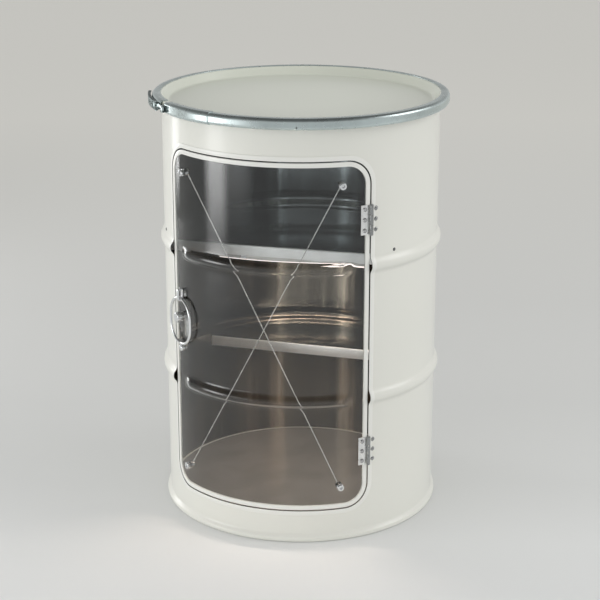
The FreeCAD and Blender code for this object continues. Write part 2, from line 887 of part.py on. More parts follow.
def bracket(azimuth, rivet_height, shelf_height):
    """Angle bracket: a leg along the wall and a leg under the shelf."""
    under = shelf_height - shelf_sheet
    half = angle_of(bracket_span / 2, drum_inner_radius)
    start = azimuth - half
    end = azimuth + half
    low = rivet_height - bracket_rivet_drop
    leg_in = drum_inner_radius - bracket_leg
    wall_in = drum_inner_radius - bracket_sheet
    seat = ring_box(leg_in, drum_inner_radius, under - bracket_sheet, under, start, end)
    wall_leg = ring_box(wall_in, drum_inner_radius, low, under, start, end)
    body = seat.fuse(wall_leg)
    hole = radial_cylinder(rivet_shank_radius + rivet_fit, azimuth, rivet_height, deep_radius, far_radius)
    return largest(body.removeSplitter().cut(hole))


def top_shelf_brackets():
    return group([bracket(azimuth, z, top_shelf_height) for azimuth, z in top_bracket_places()])


def middle_shelf_brackets():
    return group([bracket(azimuth, z, middle_shelf_height) for azimuth, z in middle_bracket_places()])


def bracket_rivets():
    tail = drum_inner_radius - bracket_sheet
    places = top_bracket_places() + middle_bracket_places()
    return group([small_rivet(azimuth, z, tail) for azimuth, z in places])


# Light bar, drawn along X behind the top shelf's lip and then turned with the shelf


def led_box(x_low, x_high, width, z_low, z_high):
    back = top_shelf_front - led_setback - led_width / 2
    return Part.makeBox(x_high - x_low, width, z_high - z_low, Vector(x_low, -back - width / 2, z_low))


led_left = led_shift - led_length / 2
led_right = led_shift + led_length / 2
led_top = top_shelf_height - shelf_lip_height - led_clip_sheet
led_channel_low = led_top - led_channel_height


def led_channel():
    outside = led_box(led_left, led_right, led_width, led_channel_low, led_top)
    inner_width = led_width - 2 * led_channel_sheet
    inside = led_box(led_left, led_right, inner_width, led_channel_low, led_top - led_channel_sheet)
    return turned(outside.cut(inside), top_shelf_turn)


def led_diffuser():
    """Milky strip that fills the channel's mouth and stands below it, with a rounded underside."""
    inner_width = led_width - 2 * led_channel_sheet
    low = led_channel_low - led_diffuser_drop
    body = led_box(led_left, led_right, inner_width, low, led_top - 2 * led_channel_sheet)
    edges = []
    for e in body.Edges:
        at_bottom = abs(e.BoundBox.ZMax - low) < hair
        if at_bottom and e.BoundBox.XLength > inner_width:
            edges.append(e)
    return turned(body.makeFillet(led_diffuser_drop - led_diffuser_edge, edges), top_shelf_turn)


def led_end_caps():
    caps = []
    low = led_channel_low - led_diffuser_drop
    for x in (led_left - led_end_cap, led_right):
        caps.append(turned(led_box(x, x + led_end_cap, led_width, low, led_top), top_shelf_turn))
    return group(caps)


def led_clips():
    """Two spring clips under the lip's return that the channel is pushed up into."""
    clips = []
    for x in (led_left + led_clip_inset, led_right - led_clip_inset - led_clip_width):
        width = led_width + 2 * led_clip_sheet
        saddle = led_box(x, x + led_clip_width, width, led_channel_low, led_top + led_clip_sheet)
        room = led_box(x, x + led_clip_width, led_width, led_channel_low, led_top)
        clips.append(turned(saddle.cut(room), top_shelf_turn))
    return group(clips)


# Door


def pane_bump(height, start, end, thick):
    """Length of hoop in the pane: hollow if thick is False, and filled if it is True."""
    base = pane_outer_radius
    outer = hoop_edges(base, 0.0, height)
    low = height - hoop_span
    high = height + hoop_span
    if thick:
        inner = [line(rz(pane_inner_radius, low), rz(pane_inner_radius, high))]
    else:
        inner = hoop_edges(pane_inner_radius, -pane_thickness, height)
    low_end = line(rz(pane_inner_radius, low), rz(base, low))
    high_end = line(rz(pane_inner_radius, high), rz(base, high))
    face = Part.Face(Part.Wire(Part.__sortEdges__(outer + inner + [low_end, high_end])))
    return revolved(face, start, end)


def door_edge_grow(inset):
    """Growth of the window's outline that gives a door outline this far inside the door's edge."""
    return -door_gap / 2 - inset


def door_hole_places():
    """Azimuth, height and radius of each hole through the pane."""
    places = []
    for azimuth in stud_azimuths:
        for z in stud_heights:
            places.append((azimuth, z, stud_shank_radius + stud_fit))
    places.append((latch_azimuth, eye_height(), bolt_shank_radius + stud_fit))
    places.append((latch_azimuth, rest_height(), bolt_shank_radius + stud_fit))
    places.append((latch_azimuth, latch_height, bush_radius + stud_fit))
    for z in hinge_rivet_heights():
        places.append((hinge_azimuth_at(-door_rivet_offset), z, rivet_shank_radius + rivet_fit))
    return places


def door_pane():
    """Clear sheet bent to the drum, with both hoops formed in it between plain borders."""
    sheet = ring_box(pane_inner_radius, pane_outer_radius, window_bottom - door_gap, window_top + door_gap)
    sheet = sheet.common(window_prism(door_edge_grow(trim_sheet)))
    half = pane_hoop_half_angle
    cap = angle_of(pane_thickness, pane_outer_radius)
    for height in hoop_heights:
        r_in = pane_inner_radius - cut_past
        r_out = pane_outer_radius + cut_past
        slot = ring_box(r_in, r_out, height - hoop_span, height + hoop_span, -half, half)
        bump = pane_bump(height, -half + cap, half - cap, False)
        ends = [pane_bump(height, -half, -half + cap, True), pane_bump(height, half - cap, half, True)]
        sheet = sheet.cut(slot).fuse([bump] + ends)
    holes = []
    for azimuth, z, radius in door_hole_places():
        holes.append(radial_cylinder(radius, azimuth, z, deep_radius, far_radius))
    return largest(sheet.removeSplitter().cut(holes))


def door_trim():
    """Channel pushed over the pane's edge."""
    low = window_bottom - door_gap
    high = window_top + door_gap
    block = ring_box(trim_inner_radius, trim_outer_radius, low, high)
    frame = block.common(window_prism(door_edge_grow(0.0))).cut(window_prism(door_edge_grow(trim_leg)))
    groove = ring_box(pane_inner_radius, pane_outer_radius, low, high)
    groove = groove.common(window_prism(door_edge_grow(trim_sheet)))
    return largest(frame.cut(groove))


# Hinges. Local frame: the hinge line is at azimuth window_half_angle and radius hinge_axis_radius.


def hinge_cylinder(radius, z_low, z_high):
    base = at(hinge_axis_radius, window_half_angle, z_low)
    return Part.makeCylinder(radius, z_high - z_low, base, Z)


def knuckle(z_low, z_high):
    return hinge_cylinder(hinge_knuckle_radius, z_low, z_high)


def hinge_bores(z_low, z_high):
    return hinge_cylinder(hinge_pin_radius + hinge_fit, z_low - cut_past, z_high + cut_past)


def hinge_door_leaf(middle):
    """Leaf outside the pane, with the middle knuckle."""
    low = middle - hinge_height / 2
    high = middle + hinge_height / 2
    r_in = trim_outer_radius
    r_out = r_in + hinge_leaf
    edge = hinge_knuckle_radius + 2 * hinge_axial_gap
    outer_edge = hinge_azimuth_at(-edge)
    inner_edge = hinge_azimuth_at(-edge - hinge_leaf_width)
    plate = ring_box(r_in, r_out, low, high, inner_edge, outer_edge)
    k_low = middle - hinge_third / 2 + hinge_axial_gap
    k_high = middle + hinge_third / 2 - hinge_axial_gap
    tab_start = outer_edge - angle_of(hinge_tab_overlap, r_in)
    tab = ring_box(r_in, r_out, k_low, k_high, tab_start, hinge_azimuth_at(-hinge_pin_radius / 2))
    body = plate.fuse([tab, knuckle(k_low, k_high)]).removeSplitter()
    cutters = [hinge_bores(low, high)]
    for step in (-1, 0, 1):
        azimuth = hinge_azimuth_at(-door_rivet_offset)
        z = middle + step * hinge_rivet_pitch
        cutters.append(radial_cylinder(rivet_shank_radius + rivet_fit, azimuth, z, deep_radius, far_radius))
    return largest(body.cut(cutters))


def hinge_body_leaf(middle):
    """Leaf behind the wall; two necks come out through the gap to the outer knuckles."""
    low = middle - hinge_height / 2
    high = middle + hinge_height / 2
    r_out = drum_inner_radius
    r_in = r_out - hinge_leaf
    near = door_gap / 2 - hinge_neck_clearance - hinge_neck
    start = hinge_azimuth_at(near)
    neck_end = hinge_azimuth_at(near + hinge_neck)
    plate = ring_box(r_in, r_out, low, high, start, hinge_azimuth_at(body_leaf_width))
    pieces = []
    neck_out = hinge_axis_radius - hinge_pin_radius - hinge_neck_reach
    spans = [(low, middle - hinge_third / 2), (middle + hinge_third / 2, high)]
    for z_low, z_high in spans:
        pieces.append(ring_box(r_in, neck_out, z_low, z_high, start, neck_end))
        pieces.append(knuckle(z_low, z_high))
    body = plate.fuse(pieces).removeSplitter()
    cutters = [hinge_bores(low, high)]
    for step in (-1, 0, 1):
        azimuth = hinge_azimuth_at(body_rivet_offset)
        z = middle + step * hinge_rivet_pitch
        cutters.append(radial_cylinder(rivet_shank_radius + rivet_fit, azimuth, z, deep_radius, far_radius))
    return largest(body.cut(cutters))


def hinge_door_leaves():
    return group([hinge_door_leaf(z) for z in hinge_heights])


def hinge_body_leaves():
    return group([hinge_body_leaf(z) for z in hinge_heights])


def hinge_pins():
    """Pins with a button head at both ends."""
    pins = []
    for middle in hinge_heights:
        low = middle - hinge_height / 2
        high = middle + hinge_height / 2
        head_radius = hinge_knuckle_radius - hinge_pin_head_inset
        shank = hinge_cylinder(hinge_pin_radius, low, high)
        low_head = hinge_cylinder(head_radius, low - hinge_pin_head, low)
        high_head = hinge_cylinder(head_radius, high, high + hinge_pin_head)
        pins.append(shank.fuse([low_head, high_head]))
    return group(pins)


def hinge_door_rivets():
    rivets = []
    azimuth = hinge_azimuth_at(-door_rivet_offset)
    head_seat = trim_outer_radius + hinge_leaf
    head = (door_rivet_head_radius, rivet_head_height)
    for z in hinge_rivet_heights():
        rivets.append(rivet(azimuth, z, head_seat, pane_inner_radius, *head))
    return group(rivets)


# Wire cross


def wire_line(first, second):
    """Straight wire between two stud points."""
    span = second - first
    return Part.makeCylinder(wire_radius, span.Length, first, span)


def wire_points(offset, rising):
    """Ends of a wire; offset is its depth behind the pane, rising if it climbs towards +X."""
    radius = pane_inner_radius - offset
    low, high = stud_heights
    left_z, right_z = (low, high) if rising else (high, low)
    return at(radius, stud_left_azimuth, left_z), at(radius, stud_right_azimuth, right_z)


def wire_depths():
    return wire_depth - wire_spacing / 2, wire_depth + wire_spacing / 2


def cross_wire_a():
    first, second = wire_points(wire_depths()[0], True)
    return wire_line(first, second)


def cross_wire_b():
    first, second = wire_points(wire_depths()[1], False)
    return wire_line(first, second)


def stud(azimuth, z):
    """Bolt with a turned round head outside the pane."""
    r_end = pane_outer_radius + stud_head_length
    head = radial_cylinder(stud_head_radius, azimuth, z, pane_outer_radius, r_end)
    rim = [e for e in head.Edges if abs(e.Length - 2 * math.pi * stud_head_radius) < hair]
    far_rim = sorted(rim, key=lambda e: Vector(e.CenterOfMass.x, e.CenterOfMass.y, 0).Length)[-1]
    head = head.makeFillet(stud_round, [far_rim])
    r_tip = pane_inner_radius - wire_depths()[0] + 2 * wire_radius
    shank = radial_cylinder(stud_shank_radius, azimuth, z, r_tip, pane_outer_radius)
    return head.fuse(shank).removeSplitter()


def wire_studs():
    return group([stud(a, z) for a in stud_azimuths for z in stud_heights])


def stud_nuts():
    """Round clamp nuts inside the pane, cross-drilled for the wires."""
    wires = []
    for offset, rising in zip(wire_depths(), (True, False)):
        first, second = wire_points(offset, rising)
        span = second - first
        wires.append(Part.makeCylinder(wire_radius + wire_fit, span.Length, first, span))
    nuts = []
    bore_top = pane_inner_radius
    bore_low = pane_inner_radius - wire_depths()[0] + 2 * wire_radius
    for azimuth in stud_azimuths:
        for z in stud_heights:
            seat = pane_inner_radius - nut_seat_clearance
            body = radial_cylinder(stud_head_radius, azimuth, z, seat - stud_nut_length, seat)
            bore = radial_cylinder(stud_shank_radius + rivet_fit, azimuth, z, bore_low, bore_top)
            nuts.append(largest(body.cut([bore] + wires)))
    return group(nuts)


# Pull ring, latch and their bolts. They are drawn facing -Y and turned to the latch's azimuth.


def eye_height():
    return pull_ring_top + eye_slot_length / 2


def rest_height():
    return pull_ring_top - pull_ring_height - pull_ring_rod_radius - rest_clearance - rest_radius


def end_rim(shape, reach):
    """Edges round the end of a shape that reaches this far out."""
    rim = []
    for e in shape.Edges:
        box = e.BoundBox
        if box.YMin < -reach + hair and box.YLength < hair:
            rim.append(e)
    return rim


def slot_prism(radius, width):
    """Upright oblong through the eye, across the drum's radius."""
    x = -width / 2
    y = -pull_ring_radius
    low = pull_ring_top
    high = pull_ring_top + eye_slot_length
    edges = [
        arc(Vector(x, y + radius, high), Vector(x, y, high + radius), Vector(x, y - radius, high)),
        line(Vector(x, y - radius, high), Vector(x, y - radius, low)),
        arc(Vector(x, y - radius, low), Vector(x, y, low - radius), Vector(x, y + radius, low)),
        line(Vector(x, y + radius, low), Vector(x, y + radius, high)),
    ]
    return Part.Face(Part.Wire(edges)).extrude(Vector(width, 0, 0))


def handle_eye():
    """Eye bolt: an oblong eye outside the pane and a shank through it."""
    body = slot_prism(eye_hole_radius + eye_wall, eye_width)
    shank_from = pane_inner_radius - nut_height - nut_proud
    shank = radial_cylinder(bolt_shank_radius, 0.0, eye_height(), shank_from, pull_ring_radius)
    hole = slot_prism(eye_hole_radius, 2 * eye_width)
    corner = Vector(-eye_width, -pane_outer_radius, 0)
    behind_pane = Part.makeBox(2 * eye_width, pane_outer_radius, full_height, corner)
    body = body.cut(behind_pane).fuse(shank).cut(hole)
    return turned(largest(body), latch_azimuth)


def handle_rest():
    """Bolt under the pull ring's lower end, with a rounded tip."""
    r_tip = pane_outer_radius + rest_length
    head = radial_cylinder(rest_radius, 0.0, rest_height(), pane_outer_radius, r_tip)
    rim = end_rim(head, r_tip)
    head = head.makeFillet(rest_radius / 2, rim)
    shank_from = pane_inner_radius - nut_height - nut_proud
    shank = radial_cylinder(bolt_shank_radius, 0.0, rest_height(), shank_from, pane_outer_radius)
    return turned(head.fuse(shank).removeSplitter(), latch_azimuth)


def hex_nut(z):
    """Hexagon nut inside the pane."""
    step = full_turn / hex_sides
    corner = nut_radius / math.cos(math.radians(step / 2))
    points = []
    for i in range(hex_sides):
        a = math.radians(step * i)
        points.append(Vector(corner * math.sin(a), -pane_inner_radius, z + corner * math.cos(a)))
    prism = polygon(points).extrude(Vector(0, nut_height, 0))
    bore = radial_cylinder(bolt_shank_radius + rivet_fit, 0.0, z, deep_radius, far_radius)
    return turned(largest(prism.common(core(pane_inner_radius)).cut(bore)), latch_azimuth)


def handle_nuts():
    return group([hex_nut(eye_height()), hex_nut(rest_height())])


def handle_ring():
    """Oval ring of round rod that hangs in the eye."""
    half_width = pull_ring_half_width
    top = pull_ring_top
    low = pull_ring_top - pull_ring_height
    upper = top - half_width
    lower = low + half_width
    y = -pull_ring_radius

    def p(x, z):
        return Vector(x, y, z)

    edges = [
        arc(p(-half_width, upper), p(0, top), p(half_width, upper)),
        line(p(half_width, upper), p(half_width, lower)),
        arc(p(half_width, lower), p(0, low), p(-half_width, lower)),
        line(p(-half_width, lower), p(-half_width, upper)),
    ]
    path = Part.Wire(edges)
    section = Part.Wire(Part.makeCircle(pull_ring_rod_radius, p(-half_width, upper), Z))
    rod = path.makePipeShell([section], True, False)
    return turned(rod, latch_azimuth)


def knob_bush():
    """Flanged bush through the pane."""
    flange_top = pane_outer_radius + bush_flange
    flange = radial_cylinder(bush_flange_radius, 0.0, latch_height, pane_outer_radius, flange_top)
    tube = radial_cylinder(bush_radius, 0.0, latch_height, pane_inner_radius, pane_outer_radius)
    bore = radial_cylinder(knob_shaft_radius + knob_fit, 0.0, latch_height, deep_radius, far_radius)
    return turned(flange.fuse(tube).removeSplitter().cut(bore), latch_azimuth)


def tongue_face():
    """Distance from the axis of the tongue's outer face."""
    return pane_inner_radius - tongue_depth


def latch_knob():
    """Grip with finger grooves, and the shaft that carries the tongue."""
    r_low = pane_outer_radius + bush_flange + knob_gap
    r_high = r_low + knob_length
    grip = radial_cylinder(knob_radius, 0.0, latch_height, r_low, r_high)
    rim = end_rim(grip, r_high)
    grip = grip.makeFillet(knob_round, rim)
    grooves = []
    for i in range(knob_groove_count):
        a = 2 * math.pi * i / knob_groove_count
        x = (knob_radius + knob_groove_radius / 2) * math.sin(a)
        z = latch_height + (knob_radius + knob_groove_radius / 2) * math.cos(a)
        groove_base = Vector(x, -r_low - knob_length, z)
        grooves.append(Part.makeCylinder(knob_groove_radius, knob_length, groove_base, Vector(0, 1, 0)))
    shaft_end = tongue_face() - tongue_sheet - shaft_proud
    shaft = radial_cylinder(knob_shaft_radius, 0.0, latch_height, shaft_end, r_low)
    return turned(largest(grip.cut(grooves).fuse(shaft)), latch_azimuth)


def latch_tongue():
    """Tongue behind the pane; it hangs down when the door is free to open."""
    y = -tongue_face()
    half = tongue_width / 2
    end = latch_height - tongue_length + half
    plate = Part.makeBox(tongue_width, tongue_sheet, tongue_length - half, Vector(-half, y, end))
    rounds = []
    for z in (latch_height, end):
        rounds.append(Part.makeCylinder(half, tongue_sheet, Vector(0, y, z), Vector(0, 1, 0)))
    spacer_top = pane_inner_radius - knob_gap
    spacer = radial_cylinder(bush_radius, 0.0, latch_height, tongue_face(), spacer_top)
    bore = radial_cylinder(knob_shaft_radius + rivet_fit / 2, 0.0, latch_height, deep_radius, far_radius)
    body = plate.fuse(rounds + [spacer]).removeSplitter().cut(bore)
    return turned(largest(body), latch_azimuth)


PARTS = {
    "drum_shell": drum_shell,
    "bottom_chime": bottom_chime,
    "drum_bottom": drum_bottom,
    "lid": lid,
    "lid_gasket": lid_gasket,
    "locking_ring": locking_ring,
    "ring_strap": ring_strap,
    "lever_lug": lever_lug,
    "link_lug": link_lug,
    "lever_pins": lever_pins,
    "link_pin": link_pin,
    "lever": lever,
    "toggle_pin": toggle_pin,
    "link": link,
    "opening_trim": opening_trim,
    "keeper": keeper,
    "keeper_rivets": keeper_rivets,
    "hole_plugs": hole_plugs,
    "top_shelf": top_shelf,
    "middle_shelf": middle_shelf,
    "top_shelf_brackets": top_shelf_brackets,
    "middle_shelf_brackets": middle_shelf_brackets,
    "bracket_rivets": bracket_rivets,
    "led_channel": led_channel,
    "led_diffuser": led_diffuser,
    "led_end_caps": led_end_caps,
    "led_clips": led_clips,
    "hinge_body_leaves": hinge_body_leaves,
    "hinge_body_rivets": hinge_body_rivets,
    "hinge_pins": hinge_pins,
    "door_pane": door_pane,
    "door_trim": door_trim,
    "hinge_door_leaves": hinge_door_leaves,
    "hinge_door_rivets": hinge_door_rivets,
    "wire_studs": wire_studs,
    "stud_nuts": stud_nuts,
    "cross_wire_a": cross_wire_a,
    "cross_wire_b": cross_wire_b,
    "handle_eye": handle_eye,
    "handle_rest": handle_rest,
    "handle_nuts": handle_nuts,
    "handle_ring": handle_ring,
    "knob_bush": knob_bush,
    "latch_knob": latch_knob,
    "latch_tongue": latch_tongue,
}

os.makedirs("parts", exist_ok=True)
for name, make in PARTS.items():
    shape = make()
    if not shape.isValid():
        print(name, "is not valid")
    solids = len(shape.Solids)
    print(f"{name}: {solids} solid(s), volume {shape.Volume:.0f} mm3")
    shape.exportStep(f"parts/{name}.step")
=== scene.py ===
# %% [markdown]
# # Oil drum bar cabinet
# This lesson dresses a steel drum that was turned into a lit bar cabinet. The construction is already
# made: every hinge, shelf and bolt is in the frame that the first cell loads, at its real size. Blender
# adds what the eye sees, so each cell takes one piece, says what it is on the real object, and models it
# or gives it its finish. One scene unit is a metre, the drum stands on Z = 0 round the Z axis, and the
# door faces -Y.

# %%  Load the frame
import json
import math

import bmesh
import bpy
from mathutils import Matrix, Vector

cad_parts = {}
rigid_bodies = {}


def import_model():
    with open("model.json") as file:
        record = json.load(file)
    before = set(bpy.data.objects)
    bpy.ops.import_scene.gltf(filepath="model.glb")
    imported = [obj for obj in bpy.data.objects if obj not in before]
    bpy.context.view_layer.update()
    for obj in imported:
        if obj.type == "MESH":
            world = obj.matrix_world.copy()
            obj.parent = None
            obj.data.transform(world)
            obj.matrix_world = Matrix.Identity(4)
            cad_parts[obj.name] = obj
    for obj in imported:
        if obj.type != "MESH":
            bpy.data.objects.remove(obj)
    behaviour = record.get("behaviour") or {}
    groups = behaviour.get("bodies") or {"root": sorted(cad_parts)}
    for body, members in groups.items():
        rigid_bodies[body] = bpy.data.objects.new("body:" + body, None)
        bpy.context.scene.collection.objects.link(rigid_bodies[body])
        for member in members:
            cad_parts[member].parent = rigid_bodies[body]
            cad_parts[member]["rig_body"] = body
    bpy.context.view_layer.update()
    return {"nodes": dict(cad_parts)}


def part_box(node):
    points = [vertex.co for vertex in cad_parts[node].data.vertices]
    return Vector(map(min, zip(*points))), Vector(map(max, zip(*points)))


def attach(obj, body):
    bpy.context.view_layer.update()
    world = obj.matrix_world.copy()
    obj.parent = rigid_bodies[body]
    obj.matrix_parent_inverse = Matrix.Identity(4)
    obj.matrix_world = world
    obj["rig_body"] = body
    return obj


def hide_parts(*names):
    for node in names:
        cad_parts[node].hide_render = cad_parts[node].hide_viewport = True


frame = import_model()

# %% [markdown]
# ## Sizes that the pieces share
# A rolled drum is nearly all circles, so most places are a radius, an azimuth and a height. What several
# pieces share is written once here, in metres. The height of a lid, ring or shelf is read from its box
# in the frame, so a piece that is modelled again below lands where the construction put it. Azimuth 0
# is the middle of the door, and it grows towards +X.

# %%  Named sizes
MM = 0.001
drum_radius = 286.95 * MM
drum_wall = 1.2 * MM
hoop_heights = (304 * MM, 582 * MM)
hoop_rise = 8 * MM
hoop_crown = 15 * MM
hoop_fillet = 14 * MM
hoop_span = math.sqrt(2 * hoop_rise * (hoop_crown + hoop_fillet) - hoop_rise ** 2)
window_half_degrees = 46
window_half_angle = math.radians(window_half_degrees)
window_low = 69 * MM
window_high = 797 * MM
window_corner = 50 * MM
door_gap = 3 * MM
pane_thickness = 3 * MM
turn_steps = 288
near = 0.01 * MM


def on_drum(radius, degrees, z):
    """Point at a radius, an azimuth and a height."""
    a = math.radians(degrees)
    return Vector((radius * math.sin(a), -radius * math.cos(a), z))


def middle(node):
    """Middle of a node's box."""
    low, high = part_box(node)
    return (low + high) / 2


print("half width of a hoop", round(hoop_span * 1000, 2), "mm")
print("window", round((window_high - window_low) * 1000), "mm high")

# %% [markdown]
# ## Camera
# The photograph looks down on the drum from the front, a little from the right, with a long lens. The
# camera stands on a circle round the drum at that azimuth and height and is pitched down towards it.
# Its shift stays at zero, so that views from other sides keep the drum in the middle too.

# %%  Camera
camera_azimuth = 17.904
camera_distance = 3.3347
camera_height = 1.5096
camera_pitch = 0.3134
camera_side = -2.0 * MM
focal_share = 1634.3 / 600

bpy.ops.object.camera_add()
camera = bpy.context.object
camera.name = "photo_camera"
across = Vector((math.cos(math.radians(camera_azimuth)), math.sin(math.radians(camera_azimuth)), 0))
camera.location = on_drum(camera_distance, camera_azimuth, camera_height) + across * camera_side
camera.rotation_euler = (math.pi / 2 - camera_pitch, 0, math.radians(camera_azimuth))
camera.data.sensor_width = 36
camera.data.lens = focal_share * camera.data.sensor_width
camera.data.clip_end = 100
bpy.context.scene.camera = camera
print("lens", round(camera.data.lens, 1), "mm at", tuple(round(c, 3) for c in camera.location))

# %% [markdown]
# ## Tools for modelling
# Every operator works on what is selected, and loading the frame leaves its nodes selected. These short
# helpers clear the selection, pick one object, or open it for editing, and then faces or edges are
# chosen by where they are. The same kind of test picks the faces that get a second finish. A modifier is
# set up and applied in one go.

# %%  Selection and modifier helpers
def deselect():
    if bpy.context.object and bpy.context.object.mode != "OBJECT":
        bpy.ops.object.mode_set(mode="OBJECT")
    bpy.ops.object.select_all(action="DESELECT")


def pick(obj):
    deselect()
    obj.select_set(True)
    bpy.context.view_layer.objects.active = obj


def start_edit(obj, everything=False):
    pick(obj)
    bpy.ops.object.mode_set(mode="EDIT")
    bpy.ops.mesh.select_mode(type="VERT")
    bpy.ops.mesh.select_all(action="SELECT" if everything else "DESELECT")


def choose(obj, kind, test):
    """In edit mode, select the VERT, EDGE or FACE elements that pass a test."""
    bpy.ops.mesh.select_mode(type=kind)
    bpy.ops.mesh.select_all(action="DESELECT")
    mesh = bmesh.from_edit_mesh(obj.data)
    for element in {"VERT": mesh.verts, "EDGE": mesh.edges, "FACE": mesh.faces}[kind]:
        if test(element):
            element.select = True
    mesh.select_flush_mode()
    bmesh.update_edit_mesh(obj.data)


def paint_faces(obj, material, test):
    """Give the faces that pass a test a second material."""
    obj.data.materials.append(material)
    start_edit(obj)
    choose(obj, "FACE", test)
    obj.active_material_index = 1
    bpy.ops.object.material_slot_assign()
    deselect()


def modify(obj, kind, **settings):
    """Add a modifier, set it up and apply it."""
    pick(obj)
    modifier = obj.modifiers.new(kind.title(), kind)
    for name, value in settings.items():
        setattr(modifier, name, value)
    bpy.ops.object.modifier_apply(modifier=modifier.name)


def break_edges(obj, width, degrees=40):
    """Narrow bevel along every edge that is sharper than an angle."""
    modify(obj, "BEVEL", width=width, segments=2, limit_method="ANGLE", angle_limit=math.radians(degrees))


def extrude(step):
    bpy.ops.mesh.extrude_region_move(TRANSFORM_OT_translate={"value": step})


def clean(obj):
    """Merge doubles and point all faces outwards."""
    start_edit(obj, everything=True)
    bpy.ops.mesh.remove_doubles(threshold=near)
    bpy.ops.mesh.normals_make_consistent(inside=False)
    deselect()


def smooth(obj, degrees=40):
    pick(obj)
    bpy.ops.object.shade_smooth_by_angle(angle=math.radians(degrees))


def settle(obj):
    """Put the object's place, turn and scale into its mesh."""
    pick(obj)
    bpy.ops.object.transform_apply(location=True, rotation=True, scale=True)


# %% [markdown]
# ## Drawing a section and spinning it
# Rolled and pressed rings are bodies of revolution. A section is drawn by adding one vertex and
# extruding it from point to point, as one would by hand, and then the spin operator sweeps it round the
# drum's axis. Round stretches of a section come from an arc function. Sheet metal keeps one thickness,
# so a section is one face of the sheet, and Solidify gives it the other.

# %%  Section, arc and spin helpers
def arc(centre, radius, start, end, count):
    """Points (r, z) of an arc; 0 degrees is outward and 90 is up."""
    points = []
    for i in range(count + 1):
        a = math.radians(start + (end - start) * i / count)
        points.append((centre[0] + radius * math.cos(a), centre[1] + radius * math.sin(a)))
    return points


def trace(name, points):
    """Chain of edges through points, drawn by extruding a single vertex."""
    deselect()
    bpy.ops.mesh.primitive_plane_add(size=MM, location=points[0])
    obj = bpy.context.object
    obj.name = name
    settle(obj)
    start_edit(obj, everything=True)
    bpy.ops.mesh.merge(type="CENTER")
    for here, there in zip(points, points[1:]):
        extrude(there - here)
    deselect()
    return obj


def spun(name, section, start=-180, end=180, closed=False):
    """Section of (r, z) points swept round the drum's axis between two azimuths."""
    obj = trace(name, [on_drum(r, start, z) for r, z in section])
    start_edit(obj, everything=True)
    if closed:
        mesh = bmesh.from_edit_mesh(obj.data)
        ends = [v for v in mesh.verts if len(v.link_edges) == 1]
        choose(obj, "VERT", lambda v: v in ends)
        bpy.ops.mesh.edge_face_add()
        bpy.ops.mesh.select_all(action="SELECT")
    share = (end - start) / 360
    steps = max(2, round(turn_steps * share))
    bpy.ops.mesh.spin(steps=steps, angle=-math.radians(end - start), axis=(0, 0, 1))
    clean(obj)
    return obj


# %% [markdown]
# ## Flat patterns rolled round the drum
# The door sheet, the bands round the opening and the hinge leaves were cut flat and then bent to the
# drum. They are modelled the same way: as a flat pattern that stands in front of the drum, where X is
# the length round the wall and -Y is the distance from the axis. Cuts across the pattern give it enough
# edges, and rolling moves every vertex to its place on the circle. A pattern that follows the two
# rolling hoops is lifted by the hoops' own section while it is rolled.

# %%  Pattern helpers
def hoop_lift(z):
    """How far the hoops stand out at a height: round crown, and a fillet to each side."""
    for height in hoop_heights:
        d = abs(z - height)
        turning = hoop_span * hoop_crown / (hoop_crown + hoop_fillet)
        if d <= turning:
            return hoop_rise - hoop_crown + math.sqrt(hoop_crown ** 2 - d ** 2)
        if d < hoop_span:
            return hoop_fillet - math.sqrt(hoop_fillet ** 2 - (hoop_span - d) ** 2)
    return 0.0


def hoop_cuts(step):
    """Heights of cuts that are close enough together to carry the hoops' section."""
    cuts = []
    for height in hoop_heights:
        count = round(hoop_span / step)
        cuts += [height + hoop_span * i / count for i in range(-count, count + 1)]
    return cuts


def cut_across(obj, axis, places):
    """Bisect a whole mesh at places along X, Y or Z."""
    normal = Vector((0, 0, 0))
    normal[axis] = 1
    start_edit(obj, everything=True)
    for place in places:
        bpy.ops.mesh.select_all(action="SELECT")
        bpy.ops.mesh.bisect(plane_co=normal * place, plane_no=normal)
    deselect()


def steps_between(low, high, step):
    count = max(1, round((high - low) / step))
    return [low + (high - low) * i / count for i in range(1, count)]


def roll(obj, lift=None):
    """Roll a flat pattern round the drum; lift(azimuth, z) is added to the radius."""
    for v in obj.data.vertices:
        turn = v.co.x / drum_radius
        reach = -v.co.y + (lift(turn, v.co.z) if lift else 0)
        v.co = (reach * math.sin(turn), -reach * math.cos(turn), v.co.z)
    obj.data.update()


def window_pattern(name, grow, reach):
    """Flat sheet with the window's outline, grown outwards, at a distance from the axis."""
    deselect()
    half = drum_radius * window_half_angle + grow
    height = window_high - window_low + 2 * grow
    place = (0, -reach, (window_low + window_high) / 2)
    bpy.ops.mesh.primitive_plane_add(size=1, location=place, rotation=(math.pi / 2, 0, 0))
    obj = bpy.context.object
    obj.name = name
    obj.scale = (2 * half, height, 1)
    settle(obj)
    start_edit(obj, everything=True)
    bpy.ops.mesh.bevel(offset=window_corner + grow, segments=16, affect="VERTICES")
    deselect()
    return obj


def cut_for_rolling(obj, step=5 * MM):
    """Cuts every few millimetres along X, so that the pattern rolls to a smooth curve."""
    xs = [v.co.x for v in obj.data.vertices]
    cut_across(obj, 0, steps_between(min(xs), max(xs), step))


print("a hoop stands out", round(hoop_lift(hoop_heights[0]) * 1000, 1), "mm")

# %% [markdown]
# ## Taking over a finished shape
# Small machined and bent pieces have their right shape in the frame already, but as loose triangles
# with knife-sharp edges. A copy of such a mesh is merged, its flat triangles are dissolved into whole
# faces, and a narrow bevel breaks its edges as a file or a press would. It then stands for the node.

